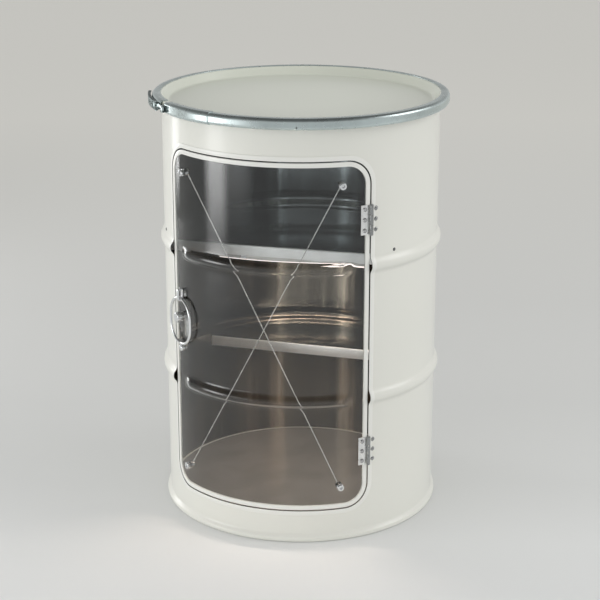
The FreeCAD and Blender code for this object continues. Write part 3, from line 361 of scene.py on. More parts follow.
# %%  Copies with broken edges
def finished_copy(node, edge):
    source = frame["nodes"][node]
    obj = bpy.data.objects.new(node + "_finished", source.data.copy())
    bpy.context.scene.collection.objects.link(obj)
    obj.data.materials.clear()
    start_edit(obj, everything=True)
    bpy.ops.mesh.remove_doubles(threshold=0.002 * MM)
    bpy.ops.mesh.dissolve_limited(angle_limit=math.radians(0.5))
    deselect()
    if edge:
        break_edges(obj, edge)
    smooth(obj, 35)
    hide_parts(node)
    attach(obj, source["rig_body"])
    return obj


def finish(obj, material, body, nodes):
    """Give a piece its material and body, and the nodes that it stands for."""
    obj.data.materials.clear()
    obj.data.materials.append(material)
    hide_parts(*nodes)
    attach(obj, body)
    return obj


# %% [markdown]
# ## Materials: a small kit
# Every finish here is one Principled shader with a little unevenness in its colour, its gloss and its
# surface. Noise on Object coordinates is fixed to the piece, in metres, so a scale of 400 is a grain of
# about 2.5 mm. The first two helpers add a node and feed its sockets, each with a value or with the
# output of another node. The others add a noise and use it as a colour, as a roughness or as a bump.

# %%  Material helpers
def feed(tree, node, feeds):
    """Give sockets of a node their values, or link them to other nodes' outputs."""
    for socket, value in feeds.items():
        if isinstance(value, bpy.types.NodeSocket):
            tree.links.new(value, node.inputs[socket])
        else:
            node.inputs[socket].default_value = value


def add_node(tree, kind, feeds=None, **settings):
    node = tree.nodes.new("ShaderNode" + kind)
    for name, value in settings.items():
        setattr(node, name, value)
    feed(tree, node, feeds or {})
    return node


def new_material(name, colour, roughness, metallic=0.0):
    material = bpy.data.materials.new(name)
    material.use_nodes = True
    tree = material.node_tree
    shader = tree.nodes["Principled BSDF"]
    feed(tree, shader, {"Base Color": (*colour, 1), "Roughness": roughness, "Metallic": metallic})
    return material, tree, shader


def object_place(tree):
    return add_node(tree, "TexCoord").outputs["Object"]


def noise(tree, scale, detail=3.0, stretch=(1, 1, 1)):
    """Noise on Object coordinates, stretched along the axes."""
    place = add_node(tree, "Mapping", {"Vector": object_place(tree), "Scale": stretch})
    feeds = {"Vector": place.outputs["Vector"], "Scale": scale, "Detail": detail}
    return add_node(tree, "TexNoise", feeds).outputs["Fac"]


def ramp(tree, value, stops):
    """Colour ramp with (position, colour) stops."""
    node = add_node(tree, "ValToRGB", {"Fac": value})
    elements = node.color_ramp.elements
    while len(elements) < len(stops):
        elements.new(0.5)
    for element, (position, colour) in zip(elements, stops):
        element.position = position
        element.color = (*colour, 1)
    return node.outputs["Color"]


def spread(tree, value, low, high, reach=(0.3, 0.7)):
    """Value brought from its reach to a range, for roughness and the like."""
    feeds = {"Value": value, "From Min": reach[0], "From Max": reach[1], "To Min": low, "To Max": high}
    return add_node(tree, "MapRange", feeds).outputs["Result"]


def bump(tree, shader, layers):
    """Stack bumps, each (value, height in metres), onto the shader's normal."""
    last = None
    for value, height in layers:
        node = add_node(tree, "Bump", {"Height": value, "Distance": height, "Strength": 1.0})
        if last:
            tree.links.new(last, node.inputs["Normal"])
        last = node.outputs["Normal"]
    tree.links.new(last, shader.inputs["Normal"])


def multiplied(tree, colour, other):
    """Product of two colours; they are inputs 6 and 7 of the Mix node."""
    feeds = {"Factor": 1.0, 6: colour, 7: other}
    return add_node(tree, "Mix", feeds, data_type="RGBA", blend_type="MULTIPLY").outputs[2]


def tint(colour, share):
    return tuple(c * share for c in colour)


def greys(tones):
    """Stops of grey, from (position, tone) pairs."""
    return [(position, (tone, tone, tone)) for position, tone in tones]


# %% [markdown]
# ## Enamel
# The drum is sprayed a warm off-white and is glossy. Sprayed enamel is never flat: it has a fine orange
# peel, and the rolled sheet under it is slightly wavy, which makes the soft reflections wander. Its colour
# and gloss only change by a few percent, in patches as wide as a hand. The gloss stays above a roughness of
# 0.27, because the denoiser treats glossier surfaces in another way and would draw a line where the two
# meet. The lid has the same paint, a touch greener, with painted shade that deepens towards the corner of
# its recess, so its tone falls with the distance from the drum's axis.

# %%  Enamel
# painted shade: this grey darkens the lid's recess towards the corner where floor meets wall
def corner_shade_tone(tree, tones):
    """Grey that changes with the distance from the drum's axis, from (radius, tone) pairs."""
    flat = add_node(tree, "VectorMath", {0: object_place(tree), 1: (1, 1, 0)}, operation="MULTIPLY")
    distance = add_node(tree, "VectorMath", {0: flat.outputs[0]}, operation="LENGTH").outputs["Value"]
    share = spread(tree, distance, 0, 1, (0, drum_radius))
    return ramp(tree, share, greys([(radius / drum_radius, tone) for radius, tone in tones]))


peel = 0.003 * MM
sheet_wave = 0.05 * MM


def enamel(name, colour, corner_shade=None):
    material, tree, shader = new_material(name, colour, 0.24)
    patches = noise(tree, 4.0, 0.0)
    paint = ramp(tree, patches, [(0.0, tint(colour, 0.97)), (1.0, tint(colour, 1.02))])
    if corner_shade:
        paint = multiplied(tree, paint, corner_shade_tone(tree, corner_shade))
    gloss = spread(tree, patches, 0.28, 0.31, (0, 1))
    feed(tree, shader, {"Base Color": paint, "Roughness": gloss})
    feed(tree, shader, {"Coat Weight": 0.35, "Coat Roughness": 0.08})
    bump(tree, shader, [(noise(tree, 5.0, 0.0), sheet_wave), (noise(tree, 380.0, 2.0), peel)])
    return material


# painted shade in the lid's recess: darker towards its corner, back to full tone on the wall
lid_corner_shade = [(100 * MM, 0.97), (170 * MM, 0.93), (245 * MM, 0.84), (266 * MM, 0.80), (274 * MM, 1.0)]
drum_enamel = enamel("drum_enamel", (0.79, 0.79, 0.735))
lid_enamel = enamel("lid_enamel", (0.72, 0.745, 0.66), corner_shade=lid_corner_shade)
trim_enamel = enamel("trim_enamel", (0.84, 0.84, 0.80))
print("enamels:", drum_enamel.name, lid_enamel.name, trim_enamel.name)

# %% [markdown]
# ## Plated and bright metal
# The clamping ring is bright zinc, bluish and a little cloudy, and its lever and lugs are the same
# plating gone dull. The handle and studs are chrome. The leaves and knuckles on the wall are a greyer
# steel than the bright leaves on the door. The shelves are brushed, with the lines along their lips, and
# they and the drum's floor carry a thin grey film, so they are less metallic than clean steel.

# %%  Metals
def metal(name, colour, rough, grain=180.0, stretch=(1, 1, 1), relief=0.01 * MM, metallic=1.0):
    """Metal whose gloss and colour vary with a grain, stretched along the way it was worked."""
    material, tree, shader = new_material(name, colour, sum(rough) / 2, metallic)
    streaks = noise(tree, grain, 4.0, stretch)
    clouds = noise(tree, 14.0, 4.0)
    shades = ramp(tree, clouds, [(0.3, tint(colour, 0.86)), (0.7, tint(colour, 1.08))])
    feed(tree, shader, {"Base Color": shades, "Roughness": spread(tree, streaks, *rough)})
    bump(tree, shader, [(streaks, relief)])
    return material


zinc = metal("zinc_plate", (0.62, 0.70, 0.70), (0.24, 0.34), 60.0, relief=0.003 * MM)
worn_zinc = metal("worn_zinc", (0.21, 0.25, 0.25), (0.38, 0.52), 90.0, relief=0.006 * MM)
bright_steel = metal("polished_steel", (0.60, 0.60, 0.60), (0.14, 0.28), 260.0)
chrome = metal("chrome_plate", (0.83, 0.84, 0.85), (0.03, 0.10), 320.0, relief=0.002 * MM)
wire_steel = metal("drawn_wire", (0.90, 0.89, 0.87), (0.18, 0.32), 500.0)
floor_steel = metal("drum_floor_steel", (0.62, 0.58, 0.54), (0.16, 0.26), 40.0, relief=0.004 * MM,
                    metallic=0.55)
shelf_steel = metal("brushed_shelf", (0.985, 0.99, 0.99), (0.36, 0.48), 160.0, (0.2, 1, 1),
                    relief=0.004 * MM, metallic=0.85)
# painted shade: a much darker copy of the shelf steel for the shelf tops
shelf_top_shade_steel = metal("shaded_polished_shelf_top", (0.26, 0.29, 0.30), (0.08, 0.16), 60.0, relief=0.003 * MM)
dark_steel = metal("dark_rivet_steel", (0.17, 0.175, 0.18), (0.2, 0.34), 260.0)
grey_steel = metal("grey_hinge_steel", (0.36, 0.37, 0.37), (0.2, 0.34), 260.0)
leaf_steel = metal("bright_leaf_steel", (0.93, 0.93, 0.92), (0.24, 0.36), 260.0)
aluminium = metal("led_aluminium", (0.62, 0.60, 0.58), (0.25, 0.4), 220.0, (0.06, 1, 1))
print("materials so far:", len(bpy.data.materials))

# %% [markdown]
# ## Bare sheet inside the drum
# The inside is bare rolled sheet under clear lacquer. It mirrors the compartments with long upright
# streaks, so its noise is stretched along Z and works on the gloss and the normal, and on the colour as the
# sheet's grain together with painted reflection streaks. Broad upright bands of painted reflection are set
# by the azimuth: the angle round the axis, from -pi to pi, becomes a share from 0 to 1. Below the bar shelf
# the colour is painted warmer, as the lamp's light, and above it a little cooler.

# %%  Lacquered sheet
# painted reflections: light and dark upright bands round the drum, in place of what the sheet mirrors
painted_reflection_bands = [(0.28, 0.22), (0.34, 0.18), (0.35, 0.10), (0.385, 0.34), (0.405, 0.17), (0.421, 0.70),
                (0.437, 0.20), (0.475, 0.16), (0.496, 0.18), (0.508, 0.80), (0.519, 0.65), (0.53, 0.20),
                (0.62, 0.22)]
# painted light: warm lamp light below the bar shelf, a cooler light above it
painted_cast_height = 0.9
painted_lamp_casts = [(0.55, (1.0, 0.86, 0.70)), (0.62, (0.90, 1.0, 1.04))]


def inside_steel():
    material, tree, shader = new_material("lacquered_inside", (0.3, 0.3, 0.3), 0.2, 1.0)
    split = add_node(tree, "SeparateXYZ", {0: object_place(tree)}).outputs
    turn = add_node(tree, "Math", {0: split["X"], 1: split["Y"]}, operation="ARCTAN2").outputs[0]
    mirror_bands = ramp(tree, spread(tree, turn, 0, 1, (-math.pi, math.pi)), greys(painted_reflection_bands))
    painted_warmth = ramp(tree, spread(tree, split["Z"], 0, 1, (0, painted_cast_height)), painted_lamp_casts)
    streaks = noise(tree, 60.0, 4.0, (1, 1, 0.03))
    # the sheet's grain, and painted reflection streaks along it
    grain_and_painted_streaks = ramp(tree, streaks, greys([(0.35, 0.62), (0.65, 1.1)]))
    colour = multiplied(tree, multiplied(tree, mirror_bands, painted_warmth), grain_and_painted_streaks)
    feed(tree, shader, {"Base Color": colour, "Roughness": spread(tree, streaks, 0.14, 0.27)})
    waves = noise(tree, 7.0, 1.0, (1, 1, 0.05))
    bump(tree, shader, [(waves, 1.2 * MM), (streaks, 0.02 * MM)])
    return material


inner_steel = inside_steel()
print("inside:", inner_steel.name, "with", len(painted_reflection_bands), "stops round the drum")

# %% [markdown]
# ## Clear door sheet, lamp and rubber
# The door is a clear plastic sheet. Light has to get through it into the cabinet, so for shadow rays it
# is fully transparent, and for all others it refracts and mirrors like the real sheet. The light bar is
# a milky strip that glows a warm pinkish white. Its glow is not even: it is a little stronger over each
# diode behind it.

# %%  Clear sheet, lamp and rubber
def clear_sheet():
    material, tree, shader = new_material("clear_sheet", (0.97, 0.985, 0.98), 0.015)
    feed(tree, shader, {"Transmission Weight": 1.0, "IOR": 1.47})
    bump(tree, shader, [(noise(tree, 9.0, 1.0), 0.25 * MM)])
    shadow = add_node(tree, "LightPath").outputs["Is Shadow Ray"]
    see_through = add_node(tree, "BsdfTransparent").outputs[0]
    mixed = add_node(tree, "MixShader", {0: shadow, 1: shader.outputs[0], 2: see_through}).outputs[0]
    feed(tree, tree.nodes["Material Output"], {"Surface": mixed})
    return material


def lamp_strip():
    material, tree, shader = new_material("lamp_strip", (0.95, 0.88, 0.86), 0.4)
    glow = ramp(tree, noise(tree, 60.0, 0.0), [(0.3, (1.0, 0.84, 0.78)), (0.7, (1.0, 0.93, 0.90))])
    feed(tree, shader, {"Emission Color": glow, "Emission Strength": 1.5})
    return material


# black rubber for the lid's gasket, and also the painted shade in the gap round the door
def rubber():
    material, tree, shader = new_material("seal_rubber", (0.03, 0.03, 0.03), 0.6)
    bump(tree, shader, [(noise(tree, 500.0), 0.02 * MM)])
    feed(tree, shader, {"Roughness": spread(tree, noise(tree, 60.0), 0.5, 0.8)})
    return material


clear_plastic = clear_sheet()
lamp_milk = lamp_strip()
seal_rubber = rubber()
print("clear sheet, lamp and rubber ready")

# %% [markdown]
# ## Drum wall
# A drum is rolled from one sheet, with two rolling hoops that stiffen it and a curl at the top that the
# lid clamps on. Its section is drawn once up the inside face, spun round the axis, and given the
# sheet's 1.2 mm. The window is a rounded pattern, thickened and rolled to a block, and cut out with a
# Boolean, as a jigsaw would do after the drum was rolled. Faces that look inwards keep the bare steel.

# %%  Drum wall
curl_radius = 6 * MM
curl_height = 870 * MM
edge_sheet = 1 * MM
cutter_reach = 40 * MM
inner_radius = drum_radius - drum_wall


def wall_section():
    """Inside face of the wall, from its foot over both hoops to the end of the curl."""
    points = [(inner_radius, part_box("drum_shell")[0].z)]
    for z in sorted(hoop_cuts(1.6 * MM)):
        points.append((inner_radius + hoop_lift(z), z))
    points.append((inner_radius, curl_height))
    centre = (inner_radius + curl_radius, curl_height)
    return points + arc(centre, curl_radius, 180, -90, 14)[1:]


def window_cutter():
    block = window_pattern("window_cutter", door_gap / 2 + edge_sheet, drum_radius + cutter_reach)
    start_edit(block, everything=True)
    extrude((0, 2 * cutter_reach, 0))
    deselect()
    clean(block)
    cut_for_rolling(block)
    roll(block)
    return block


def looks_inwards(face):
    outwards = Vector((*face.calc_center_median().xy, 0)).normalized()
    return face.normal.dot(outwards) < -0.3


drum = spun("drum_wall", wall_section())
modify(drum, "SOLIDIFY", thickness=drum_wall, offset=-1)
cutter = window_cutter()
modify(drum, "BOOLEAN", object=cutter, operation="DIFFERENCE", solver="EXACT")
bpy.data.objects.remove(cutter)
smooth(drum, 30)
finish(drum, drum_enamel, "root", ["drum_shell"])
paint_faces(drum, inner_steel, looks_inwards)
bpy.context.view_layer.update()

# %% [markdown]
# ## Foot
# At the foot the wall, the bottom plate and a filler are rolled together into one seam. It stands out
# from the wall, and rolling leaves it soft, so its section runs out into the wall above.

# %%  Foot
chime_inner = 280.35 * MM
chime_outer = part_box("bottom_chime")[1].x
chime_round = 4 * MM
chime_edge = 0.6 * MM
chime_top = 19.1 * MM
run_out = [(0.9 * MM, 14 * MM), (0.3 * MM, 16.5 * MM), (-0.4 * MM, 18 * MM)]

chime_middle = chime_outer - chime_round
chime_section = [(chime_inner, chime_edge), (chime_inner + chime_edge, 0)]
chime_section += arc((chime_middle, chime_round), chime_round, -90, 0, 6)
chime_section += arc((chime_middle, 2 * chime_round), chime_round, 0, 45, 4)
chime_section += [(drum_radius + proud, z) for proud, z in run_out]
chime_section += [(inner_radius, chime_top), (chime_inner, chime_top)]
chime = spun("foot_seam", chime_section, closed=True)
smooth(chime, 50)
finish(chime, drum_enamel, "root", ["bottom_chime"])
print("foot:", len(chime.data.polygons), "faces")

# %% [markdown]
# ## Lid
# The cover is pressed from one sheet: a flat recessed floor, a soft corner up to the rim, and a rim
# that turns down over the curl. Press tools leave round corners everywhere, so each corner of the
# section is an arc.

# %%  Lid
lid_sheet = 1.5 * MM
lid_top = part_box("lid")[1].z
lid_floor = 867 * MM
lid_floor_cuts = (0, 90 * MM, 180 * MM)
lid_rim_inner = 286.75 * MM
lid_rim_outer = 300.75 * MM
lid_wall_run = 16.5 * MM
lid_wall_slope = 68
lid_skirt = 872.5 * MM
lid_fillet = 6 * MM
lid_edge_round = 3 * MM


def lid_section():
    """Top face of the cover, from its middle to the end of the skirt."""
    points = [(radius, lid_floor) for radius in lid_floor_cuts]
    corner = (lid_rim_inner - lid_wall_run, lid_floor + lid_fillet)
    points += arc(corner, lid_fillet, -90, lid_wall_slope - 90, 8)
    round_height = lid_top - lid_edge_round
    inner_round = (lid_rim_inner + lid_edge_round * 0.4, round_height)
    points += arc(inner_round, lid_edge_round, 90 + lid_wall_slope, 90, 6)
    points += arc((lid_rim_outer - lid_edge_round, round_height), lid_edge_round, 90, 0, 8)
    points.append((lid_rim_outer, lid_skirt))
    return points


lid = spun("drum_lid", lid_section())
modify(lid, "SOLIDIFY", thickness=lid_sheet, offset=-1)
smooth(lid)
finish(lid, lid_enamel, "root", ["lid"])

# %% [markdown]
# ## Locking ring and strap
# The ring is a rolled channel that pulls the lid down on the drum. It is open at one place, where the
# lever closes it, and a small hole for a seal is drilled in its front. A sleeve is welded over it next
# to the gap and shows as a step. Both are the same section, one grown by the sleeve's thickness, spun
# over their own part of the circle.

# %%  Locking ring and strap
ring_low, ring_high = (corner.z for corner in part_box("locking_ring"))
ring_radius = 306 * MM
ring_foot_radius = 289.75 * MM
ring_lip_radius = 288.25 * MM
ring_corner = 7.5 * MM
ring_sheet = 1.5 * MM
strap_sheet = 1.2 * MM
ring_gap_azimuth = -46.75
ring_gap_half = math.degrees(9 * MM / ring_radius)
hole_azimuth = 16.3
hole_rise = 6 * MM
hole_radius = 1.6 * MM
strap_span = (-40.5, -18)


def ring_section(grow):
    outer, low, high, corner = ring_radius + grow, ring_low - grow, ring_high + grow, ring_corner + grow
    points = [(ring_foot_radius, low)]
    points += arc((outer - corner, low + corner), corner, -90, 0, 10)
    points += arc((outer - corner, high - corner), corner, 0, 90, 10)
    points.append((ring_lip_radius, high))
    return points


def ring_piece(name, grow, sheet, start, end):
    piece = spun(name, ring_section(grow), start, end)
    modify(piece, "SOLIDIFY", thickness=sheet, offset=-1)
    break_edges(piece, 0.3 * MM, 50)
    smooth(piece)
    return piece


ring_start = ring_gap_azimuth + ring_gap_half
ring_end = ring_gap_azimuth - ring_gap_half + 360
ring = ring_piece("clamp_ring", 0, ring_sheet, ring_start, ring_end)
deselect()
bpy.ops.mesh.primitive_cylinder_add(vertices=24, radius=hole_radius, depth=40 * MM,
                                    location=on_drum(ring_radius, hole_azimuth, ring_low + hole_rise),
                                    rotation=(math.pi / 2, 0, math.radians(hole_azimuth)))
drill = bpy.context.object
modify(ring, "BOOLEAN", object=drill, operation="DIFFERENCE", solver="EXACT")
bpy.data.objects.remove(drill)
finish(ring, zinc, "root", ["locking_ring"])
strap = ring_piece("clamp_strap", strap_sheet, strap_sheet, *strap_span)
finish(strap, zinc, "root", ["ring_strap"])
print("ring:", len(ring.data.polygons), "faces; strap:", len(strap.data.polygons), "faces")

# %% [markdown]
# ## Band round the opening
# A white edging covers the raw cut in the wall. It lies on the outside of the drum, follows the two hoops,
# and turns in over the cut edge. The flat pattern is the window's outline; an inset makes it a band, its
# inner edge is extruded inwards for the turned leg, and Solidify gives it its millimetre. The leg gets the
# black rubber finish as painted shade in the gap, which shows as the black line round the door.

# %%  Band round the opening
band_width = 9.5 * MM
leg_reach = drum_radius + 0.35 * MM


def opening_band():
    band = window_pattern("opening_band", door_gap / 2 + band_width, drum_radius + edge_sheet)
    start_edit(band, everything=True)
    bpy.ops.mesh.inset(thickness=band_width)
    bpy.ops.mesh.delete(type="FACE")
    inner = drum_radius * window_half_angle + door_gap / 2
    low, high = window_low - door_gap / 2, window_high + door_gap / 2

    def on_inner_edge(edge):
        m = (edge.verts[0].co + edge.verts[1].co) / 2
        slack = 0.6 * MM
        return edge.is_boundary and abs(m.x) < inner + slack and low - slack < m.z < high + slack

    choose(band, "EDGE", on_inner_edge)
    extrude((0, edge_sheet + drum_wall, 0))
    deselect()
    cut_for_rolling(band)
    cut_across(band, 2, hoop_cuts(2.5 * MM))
    modify(band, "SOLIDIFY", thickness=edge_sheet, offset=-1, use_even_offset=True)
    break_edges(band, 0.35 * MM)
    roll(band, lambda turn, z: hoop_lift(z))
    smooth(band)
    return band


def on_gap_shade_leg(face):
    spot = face.calc_center_median()
    return spot.xy.length - hoop_lift(spot.z) < leg_reach


band = opening_band()
finish(band, trim_enamel, "root", ["opening_trim"])
# painted shade: the turned leg is finished black, as the shade in the gap round the door
paint_faces(band, seal_rubber, on_gap_shade_leg)
print("band:", len(band.data.polygons), "faces")

# %% [markdown]
# ## Door sheet
# The clear sheet is bent to the drum, and both hoops are formed in it as well. They fade out before
# they reach the edge channel, so the lift of each hoop is eased down to nothing towards both sides.

# %%  Door sheet
pane_fade_start = math.radians(33.5)
pane_fade_end = math.radians(40.0)
trim_sheet = 1 * MM
door_rows = steps_between(window_low, window_high, 40 * MM)


def pane_lift(turn, z):
    t = min(1.0, max(0.0, (pane_fade_end - abs(turn)) / (pane_fade_end - pane_fade_start)))
    return hoop_lift(z) * t * t * (3 - 2 * t)


def door_sheet():
    pane = window_pattern("door_pane_clear", -door_gap / 2 - trim_sheet, drum_radius)
    cut_for_rolling(pane, 4 * MM)
    cut_across(pane, 2, hoop_cuts(2 * MM) + door_rows)
    roll(pane, pane_lift)
    modify(pane, "SOLIDIFY", thickness=pane_thickness, offset=-1)
    clean(pane)
    smooth(pane)
    return pane


pane = door_sheet()
finish(pane, clear_plastic, "door", ["door_pane"])
print("pane:", len(pane.data.polygons), "faces")

# %% [markdown]
# ## Channel round the door sheet
# The edge of the sheet sits in a white channel, like the edging of a car door. Its flat pattern is a
# band in front, the same band behind, and a wall between them at the outer edge. Solidify turns that
# U into real sheet, and a small bevel gives its corners a highlight.

# %%  Door channel
trim_leg = 9 * MM


def door_channel():
    front = drum_radius + trim_sheet
    depth = pane_thickness + 2 * trim_sheet
    channel = window_pattern("door_channel", -door_gap / 2, front)
    start_edit(channel, everything=True)
    bpy.ops.mesh.inset(thickness=trim_leg)
    bpy.ops.mesh.delete(type="FACE")
    bpy.ops.mesh.select_all(action="SELECT")
    bpy.ops.mesh.duplicate_move(TRANSFORM_OT_translate={"value": (0, depth, 0)})
    reach = window_corner - door_gap / 2

    def on_outer_edge(edge):
        m = (edge.verts[0].co + edge.verts[1].co) / 2
        corner_x = drum_radius * window_half_angle - window_corner
        corner_low, corner_high = window_low + window_corner, window_high - window_corner
        from_corner = Vector((max(0, abs(m.x) - corner_x), max(0, m.z - corner_high, corner_low - m.z)))
        return edge.is_boundary and from_corner.length > reach - trim_leg / 2

    choose(channel, "EDGE", on_outer_edge)
    bpy.ops.mesh.bridge_edge_loops()
    deselect()
    clean(channel)
    cut_for_rolling(channel)
    cut_across(channel, 2, door_rows)
    modify(channel, "SOLIDIFY", thickness=trim_sheet, offset=-1, use_even_offset=True)
    break_edges(channel, 0.4 * MM)
    roll(channel)
    smooth(channel)
    return channel


channel = door_channel()
finish(channel, trim_enamel, "door", ["door_trim"])
print("channel:", len(channel.data.polygons), "faces")

# %% [markdown]
# ## Shelves
# Each shelf is folded sheet: a disc cut off straight in front, a round nose, a lip that hangs down and a
# short return behind it. A circle is bisected for the front edge, which is then extruded down and back; the
# fold gets its round nose from a bevel, and the sheet its thickness from Solidify. The top is polished and
# mirrors the dark inside, and its faces get a second finish that is much darker, as painted shade.

# %%  Shelves
shelf_radius = inner_radius - 0.6 * MM
shelf_sheet = 1.5 * MM
shelf_nose = 3.5 * MM
shelf_lip = 23 * MM
shelf_return = 9 * MM


def cut_length(front):
    """Length of a straight cut through the shelf's disc, at a distance from its middle."""
    return 2 * math.sqrt(shelf_radius ** 2 - front ** 2)


def shelf(name, node, front, turn):
    """Shelf whose lip is at a distance in front of the axis, behind it if negative, turned a little."""
    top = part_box(node)[1].z
    deselect()
    bpy.ops.mesh.primitive_circle_add(vertices=turn_steps, radius=shelf_radius, fill_type="NGON",
                                      location=(0, 0, top))
    piece = bpy.context.object
    piece.name = name
    settle(piece)

    def on_front(edge):
        return all(abs(v.co.y + front) < near for v in edge.verts)

    def on_nose(edge):
        return on_front(edge) and all(abs(v.co.z - top) < near for v in edge.verts)

    def on_top_shade(face):
        return abs(face.normal.z) > 0.9 and face.calc_center_median().z > top - 2 * shelf_sheet

    start_edit(piece, everything=True)
    bpy.ops.mesh.bisect(plane_co=(0, -front, top), plane_no=(0, -1, 0), clear_outer=True)
    choose(piece, "EDGE", on_front)
    extrude((0, 0, -shelf_lip))
    extrude((0, shelf_return, 0))
    narrower = min(1.0, cut_length(front - shelf_return) / cut_length(front))
    bpy.ops.transform.resize(value=(narrower, 1, 1), center_override=(0, 0, top))
    bpy.ops.mesh.select_all(action="SELECT")
    bpy.ops.mesh.normals_make_consistent(inside=False)
    deselect()
    modify(piece, "SOLIDIFY", thickness=shelf_sheet, offset=-1, use_even_offset=True)
    start_edit(piece)
    choose(piece, "EDGE", on_nose)
    bpy.ops.mesh.bevel(offset=shelf_nose, segments=6)
    deselect()
    break_edges(piece, 0.4 * MM, 50)
    piece.data.transform(Matrix.Rotation(math.radians(turn), 4, "Z"))
    smooth(piece)
    finish(piece, shelf_steel, "root", [node])
    # painted shade: the top faces get the darker copy of the shelf steel
    paint_faces(piece, shelf_top_shade_steel, on_top_shade)


bar_turn = 3.5
shelf("bar_shelf", "top_shelf", 46 * MM, bar_turn)
shelf("back_shelf", "middle_shelf", -135 * MM, 2)

# %% [markdown]
# ## Pull ring
# The handle is an oval ring of 6 mm rod. A torus is the start; its upper half is moved up and its lower
# half down, which leaves straight sides between them, and then the whole is turned to its place on the
# door.

# %%  Pull ring
rod_radius = 3 * MM
ring_half_width = 40 * MM
ring_height = 97.5 * MM
latch_azimuth = -39.5
ring_reach = 293.15 * MM


def pull_ring():
    deselect()
    centre = on_drum(ring_reach, latch_azimuth, middle("handle_ring").z)
    bpy.ops.mesh.primitive_torus_add(major_radius=ring_half_width, minor_radius=rod_radius,
                                     major_segments=96, minor_segments=28, rotation=(math.pi / 2, 0, 0))
    piece = bpy.context.object
    piece.name = "pull_ring_rod"
    settle(piece)
    start_edit(piece)
    stretch = ring_height / 2 - ring_half_width
    for side in (1, -1):
        choose(piece, "VERT", lambda v: v.co.z * side > 0.1 * MM)
        bpy.ops.transform.translate(value=(0, 0, side * stretch))
    deselect()
    piece.data.transform(Matrix.Translation(centre) @ Matrix.Rotation(math.radians(latch_azimuth), 4, "Z"))
    smooth(piece, 60)
    finish(piece, chrome, "pull_ring", ["handle_ring"])


pull_ring()
ring_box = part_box("handle_ring")
print("pull ring", [round(side * 1000, 1) for side in ring_box[1] - ring_box[0]], "mm")

# %% [markdown]
# ## Buttons that stand on the drum
# Rivets and studs are turned or pressed heads, round about their own axis. Each kind is a short section
# spun round that axis, made once and copied to every place, and each copy has its own mesh.

# %%  Helpers for rivets and studs
button_steps = 40


def turned_button(name, section):
    """Section of (r, height) points spun round Z at the origin; it faces up."""
    obj = trace(name, [Vector((r, 0, h)) for r, h in section])
    start_edit(obj, everything=True)
    bpy.ops.mesh.spin(steps=button_steps, angle=2 * math.pi, axis=(0, 0, 1))
    clean(obj)
    smooth(obj, 45)
    return obj


def set_on_drum(model, places, reach, name):
    """Copies of a button, standing on the drum at (azimuth, z) places, joined to one piece."""
    copies = []
    for azimuth, z in places:
        copy = bpy.data.objects.new(name, model.data.copy())
        bpy.context.scene.collection.objects.link(copy)
        stand = Matrix.Rotation(math.radians(azimuth), 4, "Z") @ Matrix.Rotation(math.pi / 2, 4, "X")
        copy.data.transform(Matrix.Translation(on_drum(reach, azimuth, z)) @ stand)
        copies.append(copy)
    bpy.data.objects.remove(model)
    deselect()
    for copy in copies:
        copy.select_set(True)
    bpy.context.view_layer.objects.active = copies[0]
    bpy.ops.object.join()
    copies[0].name = name
    return copies[0]


def dome(radius, height):
    """Section of a low dome, from its middle to its rim."""
    ball = (radius ** 2 + height ** 2) / (2 * height)
    half = math.degrees(math.asin(radius / ball))
    return arc((0, height - ball), ball, 90, 90 - half, 8) + [(radius, -0.2 * MM)]


# %% [markdown]
# ## Hinge rivets
# Three rivets hold each leaf. On the wall their heads are low domes. On the door the setting tool has
# pressed a ring into each head, which catches the light.

# %%  Hinge rivets
hinge_pitch = 21.3 * MM
hinge_end_inset = 120.5 * MM
wall_rivet_offset = 12 * MM
door_rivet_offset = -13.4 * MM
door_leaf_face = 289.15 * MM
hinge_middles = [window_low + hinge_end_inset, window_high - hinge_end_inset]
rivet_heights = [m + step * hinge_pitch for m in hinge_middles for step in (-1, 0, 1)]
ringed_head = [(0, 2.3), (1.5, 2.3), (1.9, 1.5), (2.6, 1.5), (2.9, 2.3), (3.4, 2.4), (4.2, 1.5), (4.6, 0.3),
               (4.6, -0.2)]


def beside_hinge(offset):
    """Places of the rivets at a distance round the wall from the line of the hinge."""
    return [(math.degrees(window_half_angle + offset / drum_radius), z) for z in rivet_heights]


body_rivets = turned_button("body_rivet", dome(5 * MM, 2.6 * MM))
body_rivets = set_on_drum(body_rivets, beside_hinge(wall_rivet_offset), drum_radius, "hinge_rivets_wall")
finish(body_rivets, grey_steel, "root", ["hinge_body_rivets"])
door_rivets = turned_button("door_rivet", [(r * MM, height * MM) for r, height in ringed_head])
door_rivets = set_on_drum(door_rivets, beside_hinge(door_rivet_offset), door_leaf_face, "hinge_rivets_door")
finish(door_rivets, bright_steel, "door", ["hinge_door_rivets"])
print("hinge rivets at", [round(z * 1000) for z in rivet_heights], "mm")

# %% [markdown]
# ## Studs of the wire cross
# Each end of the two wires is held in the groove of a turned stud, which has a socket in its face. The
# groove, the round shoulder and the socket are all in the section that is spun.

# %%  Studs
stud_head = 7 * MM
stud_length = 8 * MM
stud_round = 1.5 * MM
stud_socket = [(0, 4.6), (2.4, 4.6), (2.7, 7.4)]
stud_groove = [(5.6, 4.6), (5.6, 2.9)]
stud_inset = 48 * MM
stud_azimuths = (-37, 34)
stud_heights = (window_low + stud_inset, window_high - stud_inset)

